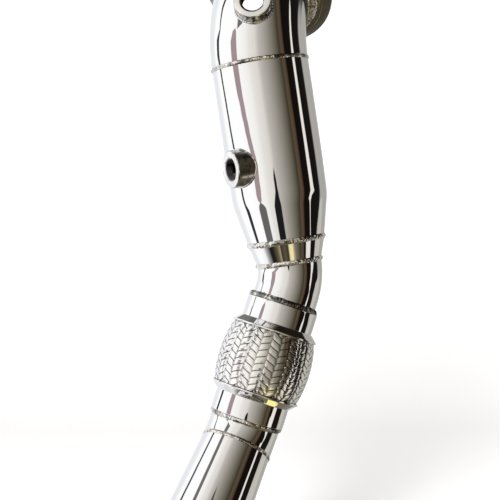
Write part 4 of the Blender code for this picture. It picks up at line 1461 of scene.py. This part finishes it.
class DOWNPIPE_OT_core(Operator):
    """Build the bellows and the strip-wound liner inside the braid"""

    bl_idname = "downpipe.core"
    bl_label = "Bellows and liner"

    def execute(self, context):
        place = Route().flex_top
        sides = settings().tubes.sides
        for node, outline in (
            ("flex_bellows", self.bellows_outline()),
            ("flex_liner", self.liner_outline()),
        ):
            obj = put_in_scene(node + "_formed", spin_outline(outline, sides), place)
            finish_piece(obj, node, "liner_stainless")
        return {"FINISHED"}

    def bellows_outline(self):
        """Rounded waves between two cuffs that slip over the collars' inner ends."""
        flex = settings().flex
        gap = settings().run.gap
        length = settings().run.flex_length
        wall = flex.bellows_wall
        cuff_start = flex.collar_showing + flex.cap_thickness + 2.0 * gap + wall * 1.5
        waves_start = collar_length() + gap
        wave = (length - 2.0 * waves_start) / flex.bellows_waves
        crest = inlet_collar_radius() + flex.bellows_rise
        root = crest - flex.bellows_depth
        outer = [(inlet_collar_radius() + gap + wall, -cuff_start)]
        rows = 12 * flex.bellows_waves
        for row in range(rows + 1):
            way = row / rows * flex.bellows_waves
            swing = (1.0 - math.cos(math.tau * way)) / 2.0
            base = inlet_collar_radius() + gap + wall if way < 0.5 else root
            if way > flex.bellows_waves - 0.5:
                base = outlet_collar_radius() + gap + wall
            outer.append((base + (crest - base) * swing, -waves_start - wave * way))
        outer.append((outlet_collar_radius() + gap + wall, -length + cuff_start))
        inner = [(radius - wall, height) for radius, height in reversed(outer)]
        return outer + inner

    def liner_outline(self):
        """Hooked outside, smooth inside, with a wider cuff at the outlet."""
        flex = settings().flex
        tubes = settings().tubes
        length = settings().run.flex_length
        start = tubes.socket + settings().run.gap
        outer = tubes.bend_radius
        low = outer - flex.liner_hook_depth
        hooks = collar_length()
        hook = (length - 2.0 * hooks) / flex.liner_hooks
        cuff = -length + hooks - flex.collar_tuck
        corners = [(outer, -start, 0.0)]
        for number in range(flex.liner_hooks):
            top = hooks + number * hook
            corners.append((outer, -top, 0.0003))
            corners.append((low, -top - hook * 0.08, 0.0002))
            corners.append((low, -top - hook * 0.40, 0.0002))
        corners += [
            (outer, -length + hooks, 0.0),
            (tubes.link_radius, cuff, 0.001),
            (tubes.link_radius, -length + start, 0.0),
            (tubes.link_radius - flex.liner_wall, -length + start, 0.0),
            (tubes.link_radius - flex.liner_wall, cuff, 0.001),
            (outer - flex.liner_wall, -length + hooks, 0.0),
            (outer - flex.liner_wall, -start, 0.0),
        ]
        return with_broken_edges(corners)


# Studio


def seen_colour(red, green, blue):
    """Scene colour of a colour given as it looks on a screen, each channel from 0 to 255."""
    channels = []
    for value in (red, green, blue):
        value /= 255.0
        channels.append(value / 12.92 if value <= 0.04045 else ((value + 0.055) / 1.055) ** 2.4)
    return (*channels, 1.0)


# What the polished steel sees round it: (degrees from the camera towards +X, colour).
# These colours and the uprights' below were sampled from the photo's reflections, by direction.
EYE_LEVEL = (
    (-180.0, seen_colour(225, 228, 232)),
    (-136.0, seen_colour(228, 230, 234)),
    (-121.0, seen_colour(255, 255, 255)),
    (-70.0, seen_colour(255, 255, 255)),
    (-34.0, seen_colour(242, 240, 236)),
    (-24.0, seen_colour(228, 225, 219)),
    (-10.0, seen_colour(218, 214, 206)),
    (-1.0, seen_colour(186, 181, 174)),
    (31.0, seen_colour(122, 117, 105)),
    (49.0, seen_colour(58, 52, 36)),
    (52.0, seen_colour(86, 72, 56)),
    (58.0, seen_colour(82, 68, 52)),
    (62.5, seen_colour(18, 13, 10)),
    (112.0, seen_colour(24, 22, 20)),
    (117.0, seen_colour(170, 167, 162)),
    (145.0, seen_colour(163, 160, 154)),
    (165.0, seen_colour(170, 170, 168)),
    (180.0, seen_colour(225, 228, 232)),
)
TABLE_EDGE = (
    (-180.0, seen_colour(245, 245, 245)),
    (-138.0, seen_colour(205, 208, 211)),
    (-88.0, seen_colour(246, 247, 249)),
    (-76.0, seen_colour(170, 170, 170)),
    (-59.0, seen_colour(28, 28, 28)),
    (-48.0, seen_colour(35, 31, 28)),
    (-31.0, seen_colour(96, 88, 62)),
    (-21.0, seen_colour(160, 150, 120)),
    (-18.0, seen_colour(52, 42, 22)),
    (-6.0, seen_colour(88, 82, 70)),
    (7.0, seen_colour(56, 50, 32)),
    (13.0, seen_colour(238, 226, 172)),
    (24.0, seen_colour(240, 224, 164)),
    (38.0, seen_colour(100, 88, 64)),
    (51.0, seen_colour(52, 46, 34)),
    (64.0, seen_colour(46, 40, 32)),
    (69.0, seen_colour(222, 216, 196)),
    (82.0, seen_colour(222, 216, 196)),
    (89.0, seen_colour(66, 62, 50)),
    (111.0, seen_colour(64, 61, 51)),
    (116.0, seen_colour(176, 176, 168)),
    (150.0, seen_colour(120, 118, 112)),
    (180.0, seen_colour(120, 118, 112)),
)
TABLE_TOP = seen_colour(112, 104, 89)
CEILING = (
    (-180.0, seen_colour(84, 83, 82)),
    (-140.0, seen_colour(110, 109, 109)),
    (-90.0, seen_colour(160, 159, 160)),
    (-60.0, seen_colour(120, 118, 114)),
    (0.0, seen_colour(70, 67, 62)),
    (105.0, seen_colour(24, 21, 16)),
    (125.0, seen_colour(50, 48, 42)),
    (155.0, seen_colour(92, 91, 87)),
    (180.0, seen_colour(84, 83, 82)),
)

# Uprights between the cards: (degrees above eye level, degrees from the camera, half width)
SEAM = (
    (60, -102, 1.8), (40, -104, 2.6), (30, -108, 2.8), (18, -105, 1.6), (12, -111.5, 4.4),
    (5, -112, 4.4), (-1, -109, 2.4), (-8, -99, 3.0), (-18, -98, 3.2), (-26, -96, 5.5),
    (-33, -92, -4.0),
)
MAUVE_STRIP = (
    (28, -55, -6.0), (22, -60, 4.5), (14, -62, 7.5), (-2, -61.5, 7.2), (-5.5, -48.5, 6.2),
    (-9, -51, 6.2), (-18, -50, 5.0), (-26, -50, -6.0),
)
GREY_STRIP_ABOVE = ((60, -56, 6.5), (48, -55, 7.0), (30, -47, 6.5), (20, -58, -5.0))
GREY_STRIP_BELOW = ((-16, -50, -6.0), (-24, -49, 6.0), (-29, -48, 10.5), (-36, -50, 12.0))
DARK_STAND = (
    (0, -5, -4.0), (-1.5, -5.5, 0.0), (-3, -6, 3.2), (-12, -6, 5.0), (-28, -5, 9.5),
    (-38, -5, 12.0),
)
WINDOW = (
    (42, 88, -4.0), (28, 88, 2.2), (19, 86, 3.0), (13, 84, 4.2), (4, 86, 6.0), (-2, 80, 3.2),
    (-7, 78, 3.2), (-11, 80, 0.8), (-15, 81, 2.6), (-21, 76, 8.0), (-34, 76, 8.0),
)
SIDE_WALL = (
    (3, 127, -6.0), (-3, 123, 5.0), (-7, 117, 12.0), (-13, 114, 12.0), (-24, 126, 12.0),
    (-32, 128, 12.0),
)
REAR_FLAG = ((12, 130, -9.0), (18, 124, 3.0), (25, 118, 13.0), (40, 115, 21.0), (62, 110, 25.0))
YELLOW_CARD = ((-60, 150, -10.0), (-67, 158, 4.0), (-76, 166, 18.0), (-89, 168, 26.0))
REAR_WALL = ((21, -168, -10.0), (27, -170, 14.0), (40, -172, 22.0), (62, -172, 26.0))
CAMERA_STAND = ((41, 8, -4.0), (39.5, 8, 0.0), (37, 9, 3.5), (34, 9, 4.5), (31, 9, -5.0))
GOLD_CARD = ((-23, 18, -4.0), (-28, 18, 4.0), (-33, 18, 5.5), (-38, 18, 5.5))
YELLOW = seen_colour(252, 244, 160)
YELLOW_EDGE = 5.0

# Degrees above eye level over which one ring gives way to the next
TO_TABLE_EDGE = (-31.0, -35.0)
TO_TABLE_TOP = (-44.0, -54.0)
TO_CEILING = (50.0, 57.0)

# Uprights over the eye level ring: (points, colour, degrees that its soft edge takes)
STRIPS = (
    (SEAM, seen_colour(50, 49, 56), 1.6),
    (MAUVE_STRIP, seen_colour(160, 142, 144), 1.4),
    (GREY_STRIP_ABOVE, seen_colour(108, 106, 103), 3.0),
    (GREY_STRIP_BELOW, seen_colour(100, 99, 97), 3.0),
    (SIDE_WALL, seen_colour(190, 187, 179), 3.0),
    (WINDOW, seen_colour(232, 227, 220), 1.8),
    (DARK_STAND, seen_colour(28, 27, 29), 1.6),
    (CAMERA_STAND, seen_colour(46, 42, 34), 1.5),
    (GOLD_CARD, seen_colour(240, 226, 168), 2.0),
    (REAR_FLAG, seen_colour(28, 24, 20), 6.0),
    (REAR_WALL, seen_colour(116, 115, 113), 6.0),
)


def ramp(tree, turn_share, stops):
    """Colours of a ring of cards at a share of the way round from behind the pipe."""
    node = tree.nodes.new("ShaderNodeValToRGB")
    tree.links.new(turn_share, node.inputs["Fac"])
    elements = node.color_ramp.elements
    elements.remove(elements[1])
    for number, (degrees, shade) in enumerate(stops):
        position = degrees / 360.0 + 0.5
        stop = elements[0] if number == 0 else elements.new(position)
        stop.position = position
        stop.color = shade
    return node.outputs["Color"]


def by_height(tree, height_share, points):
    """A number of degrees that follows (degrees above eye level, degrees) points."""
    node = tree.nodes.new("ShaderNodeFloatCurve")
    tree.links.new(height_share, node.inputs["Value"])
    curve = node.mapping.curves[0]
    places = [(above / 180.0 + 0.5, degrees / 360.0 + 0.5) for above, degrees in sorted(points)]
    curve.points[0].location = (0.0, places[0][1])
    curve.points[1].location = (1.0, places[-1][1])
    for place in places:
        curve.points.new(*place)
    for point in curve.points:
        point.handle_type = "VECTOR"
    node.mapping.update()
    return math_node(tree, "MULTIPLY_ADD", node.outputs["Value"], 360.0, -180.0)


def make_upright_group():
    """Mask of an upright strip: 1 inside its half width, 0 outside, with a soft edge."""
    group, entry, leave = new_group(
        "studio_upright",
        [("Degrees", 0.0), ("Centre", 0.0), ("Half width", 5.0), ("Edge", 1.0)],
        [("Mask", "NodeSocketFloat")],
    )
    away = math_node(group, "ABSOLUTE", math_node(
        group, "SUBTRACT", entry.outputs["Degrees"], entry.outputs["Centre"]
    ))
    inside = math_node(group, "SUBTRACT", entry.outputs["Half width"], away)
    share_in = math_node(group, "DIVIDE", inside, entry.outputs["Edge"])
    group.links.new(remap(group, share_in, -0.5, 0.5), leave.inputs["Mask"])


def upright(tree, degrees, height_share, points, edge):
    """Mask of an upright strip whose centre and half width follow its points."""
    mask = tree.nodes.new("ShaderNodeGroup")
    mask.node_tree = bpy.data.node_groups["studio_upright"]
    mask.inputs["Edge"].default_value = edge
    tree.links.new(degrees, mask.inputs["Degrees"])
    centre = by_height(tree, height_share, [(above, place) for above, place, _ in points])
    half_width = by_height(tree, height_share, [(above, half) for above, _, half in points])
    tree.links.new(centre, mask.inputs["Centre"])
    tree.links.new(half_width, mask.inputs["Half width"])
    return mask.outputs["Mask"]


class DOWNPIPE_OT_studio(Operator):
    """Set up the camera, the pale floor, the key light and the cards that the metal reflects"""

    bl_idname = "downpipe.studio"
    bl_label = "Studio"

    def execute(self, context):
        self.add_camera()
        self.add_floor()
        self.add_key_light()
        self.add_world()
        scene = context.scene
        scene.view_settings.view_transform = "Standard"
        return {"FINISHED"}

    def add_camera(self):
        studio = settings().studio
        data = bpy.data.cameras.new("photo_camera")
        data.lens = data.sensor_width * studio.camera_distance / studio.view_width
        camera = bpy.data.objects.new("photo_camera", data)
        camera.location = Vector(studio.aim) - Vector((0.0, studio.camera_distance, 0.0))
        camera.rotation_euler = (math.radians(90.0), 0.0, 0.0)
        bpy.context.scene.collection.objects.link(camera)
        bpy.context.scene.camera = camera

    def add_floor(self):
        """A sheet that lies under the pipe and curves up behind it."""
        studio = settings().studio
        level = CAD_BOX[0].z - 0.0005
        bm = bmesh.new()
        front = bm.verts.new((-studio.floor_size, -studio.floor_size, level))
        back = bm.verts.new((-studio.floor_size, studio.cove_start, level))
        edge = bm.edges.new((front, back))
        centre = Vector((0.0, studio.cove_start, level + studio.cove_radius))
        arc = bmesh.ops.spin(
            bm, geom=[back], cent=centre, axis=(1, 0, 0), angle=math.radians(90.0), steps=32
        )
        top = [item for item in arc["geom_last"] if isinstance(item, bmesh.types.BMVert)]
        wall = bmesh.ops.extrude_vert_indiv(bm, verts=top)
        bmesh.ops.translate(bm, verts=wall["verts"], vec=(0.0, 0.0, studio.floor_size))
        others = [item for item in bm.edges if item != edge]
        sheet = bmesh.ops.extrude_edge_only(bm, edges=[edge, *others])
        moved = [item for item in sheet["geom"] if isinstance(item, bmesh.types.BMVert)]
        bmesh.ops.translate(bm, verts=moved, vec=(2.0 * studio.floor_size, 0.0, 0.0))
        bmesh.ops.recalc_face_normals(bm, faces=bm.faces)
        floor = put_in_scene("studio_floor", bm, Matrix.Identity(4))
        floor.data.shade_smooth()
        floor.data.materials.append(self.floor_material())
        floor.visible_glossy = False

    def floor_material(self):
        """Pale paper; the camera sees it lifted to white, and the pipe's shadow stays on it."""
        studio = settings().studio
        material = bpy.data.materials.new("studio_paper")
        material.use_nodes = True
        tree = material.node_tree
        shader = tree.nodes["Principled BSDF"]
        shade = (studio.floor_shade,) * 3
        shader.inputs["Base Color"].default_value = (*shade, 1.0)
        shader.inputs["Roughness"].default_value = 0.9
        shader.inputs["Specular IOR Level"].default_value = 0.0
        shader.inputs["Emission Color"].default_value = (1.0, 1.0, 1.0, 1.0)
        rays = tree.nodes.new("ShaderNodeLightPath").outputs
        seen = math_node(tree, "MAXIMUM", rays["Is Camera Ray"], rays["Is Glossy Ray"])
        seen = math_node(tree, "MAXIMUM", seen, rays["Is Transmission Ray"])
        fill = math_node(tree, "MULTIPLY", seen, studio.white_fill)
        tree.links.new(fill, shader.inputs["Emission Strength"])
        return material

    def add_key_light(self):
        """A soft lamp up on the left, which throws the pipe's shadow to the right."""
        studio = settings().studio
        data = bpy.data.lights.new("key_light", "AREA")
        data.shape = "DISK"
        data.size = studio.key_size
        data.energy = studio.key_power
        lamp = bpy.data.objects.new("key_light", data)
        aim = Vector(studio.aim)
        lamp.location = aim + Vector(studio.key_offset)
        lamp.rotation_euler = (aim - lamp.location).to_track_quat("-Z", "Y").to_euler()
        lamp.visible_glossy = False
        bpy.context.scene.collection.objects.link(lamp)

    def add_world(self):
        """White to the camera; the polished metal sees the cards and flags round the studio."""
        studio = settings().studio
        world = bpy.data.worlds.new("studio_world")
        bpy.context.scene.world = world
        world.use_nodes = True
        tree = world.node_tree
        ground = tree.nodes["Background"]
        direction = tree.nodes.new("ShaderNodeTexCoord").outputs["Generated"]
        split = tree.nodes.new("ShaderNodeSeparateXYZ")
        tree.links.new(direction, split.inputs["Vector"])
        cards = self.add_cards(tree, split)
        tree.links.new(cards, ground.inputs["Color"])
        ground.inputs["Strength"].default_value = studio.card_white
        path = tree.nodes.new("ShaderNodeLightPath")
        white = tree.nodes.new("ShaderNodeBackground")
        white.inputs["Strength"].default_value = 1.0
        white.inputs["Color"].default_value = (1.0, 1.0, 1.0, 1.0)
        mix = tree.nodes.new("ShaderNodeMixShader")
        seen = math_node(
            tree, "MAXIMUM", path.outputs["Is Camera Ray"], path.outputs["Is Transmission Ray"]
        )
        tree.links.new(seen, mix.inputs["Fac"])
        tree.links.new(ground.outputs["Background"], mix.inputs[1])
        tree.links.new(white.outputs["Background"], mix.inputs[2])
        tree.links.new(mix.outputs["Shader"], tree.nodes["World Output"].inputs["Surface"])

    def add_cards(self, tree, split):
        """Colours round the studio: cards at eye level, the table's edge and its top below."""
        behind = math_node(tree, "MULTIPLY", split.outputs["Y"], -1.0)
        azimuth = math_node(tree, "ARCTAN2", split.outputs["X"], behind)
        turn_share = math_node(tree, "ADD", math_node(tree, "DIVIDE", azimuth, math.tau), 0.5)
        degrees = math_node(tree, "MULTIPLY", azimuth, math.degrees(1.0))
        height = math_node(tree, "ARCSINE", split.outputs["Z"])
        above = math_node(tree, "MULTIPLY", height, math.degrees(1.0))
        height_share = math_node(tree, "ADD", math_node(tree, "DIVIDE", height, math.pi), 0.5)
        colours = ramp(tree, turn_share, EYE_LEVEL)
        for points, shade, edge in STRIPS:
            mask = upright(tree, degrees, height_share, points, edge)
            colours = blend_colours(tree, mask, colours, shade[:3])
        table_edge = ramp(tree, turn_share, TABLE_EDGE)
        colours = blend_colours(tree, remap(tree, above, *TO_TABLE_EDGE), colours, table_edge)
        colours = blend_colours(tree, remap(tree, above, *TO_TABLE_TOP), colours, TABLE_TOP[:3])
        yellow = upright(tree, degrees, height_share, YELLOW_CARD, YELLOW_EDGE)
        colours = blend_colours(tree, yellow, colours, YELLOW[:3])
        ceiling = ramp(tree, turn_share, CEILING)
        return blend_colours(tree, remap(tree, above, *TO_CEILING), colours, ceiling)


BUILDERS = (
    DOWNPIPE_OT_finishes,
    DOWNPIPE_OT_flange,
    DOWNPIPE_OT_upper_tubes,
    DOWNPIPE_OT_lower_tubes,
    DOWNPIPE_OT_bungs,
    DOWNPIPE_OT_welds,
    DOWNPIPE_OT_collars,
    DOWNPIPE_OT_braid,
    DOWNPIPE_OT_core,
    DOWNPIPE_OT_studio,
)


class DOWNPIPE_PT_panel(Panel):
    """Lists the downpipe's builders in the order in which they run"""

    bl_idname = "DOWNPIPE_PT_panel"
    bl_label = "Turbo downpipe"
    bl_space_type = "VIEW_3D"
    bl_region_type = "UI"
    bl_category = "Downpipe"

    def draw(self, context):
        for builder in BUILDERS:
            self.layout.operator(builder.bl_idname)


GROUPS = (
    DownpipeRun,
    DownpipeTubes,
    DownpipeFlange,
    DownpipeBungs,
    DownpipeFlex,
    DownpipeWelds,
    DownpipeFinish,
    DownpipeStudio,
    DownpipeSettings,
)


def register():
    for cls in (*GROUPS, *BUILDERS, DOWNPIPE_PT_panel):
        bpy.utils.register_class(cls)
    bpy.types.Scene.downpipe = PointerProperty(type=DownpipeSettings)


def unregister():
    del bpy.types.Scene.downpipe
    for cls in reversed((*GROUPS, *BUILDERS, DOWNPIPE_PT_panel)):
        bpy.utils.unregister_class(cls)


def main():
    register()
    bpy.ops.downpipe.finishes()
    bpy.ops.downpipe.flange()
    bpy.ops.downpipe.upper_tubes()
    bpy.ops.downpipe.lower_tubes()
    bpy.ops.downpipe.bungs()
    bpy.ops.downpipe.welds()
    bpy.ops.downpipe.collars()
    bpy.ops.downpipe.braid()
    bpy.ops.downpipe.core()
    bpy.ops.downpipe.studio()


if __name__ == "__main__":
    main()
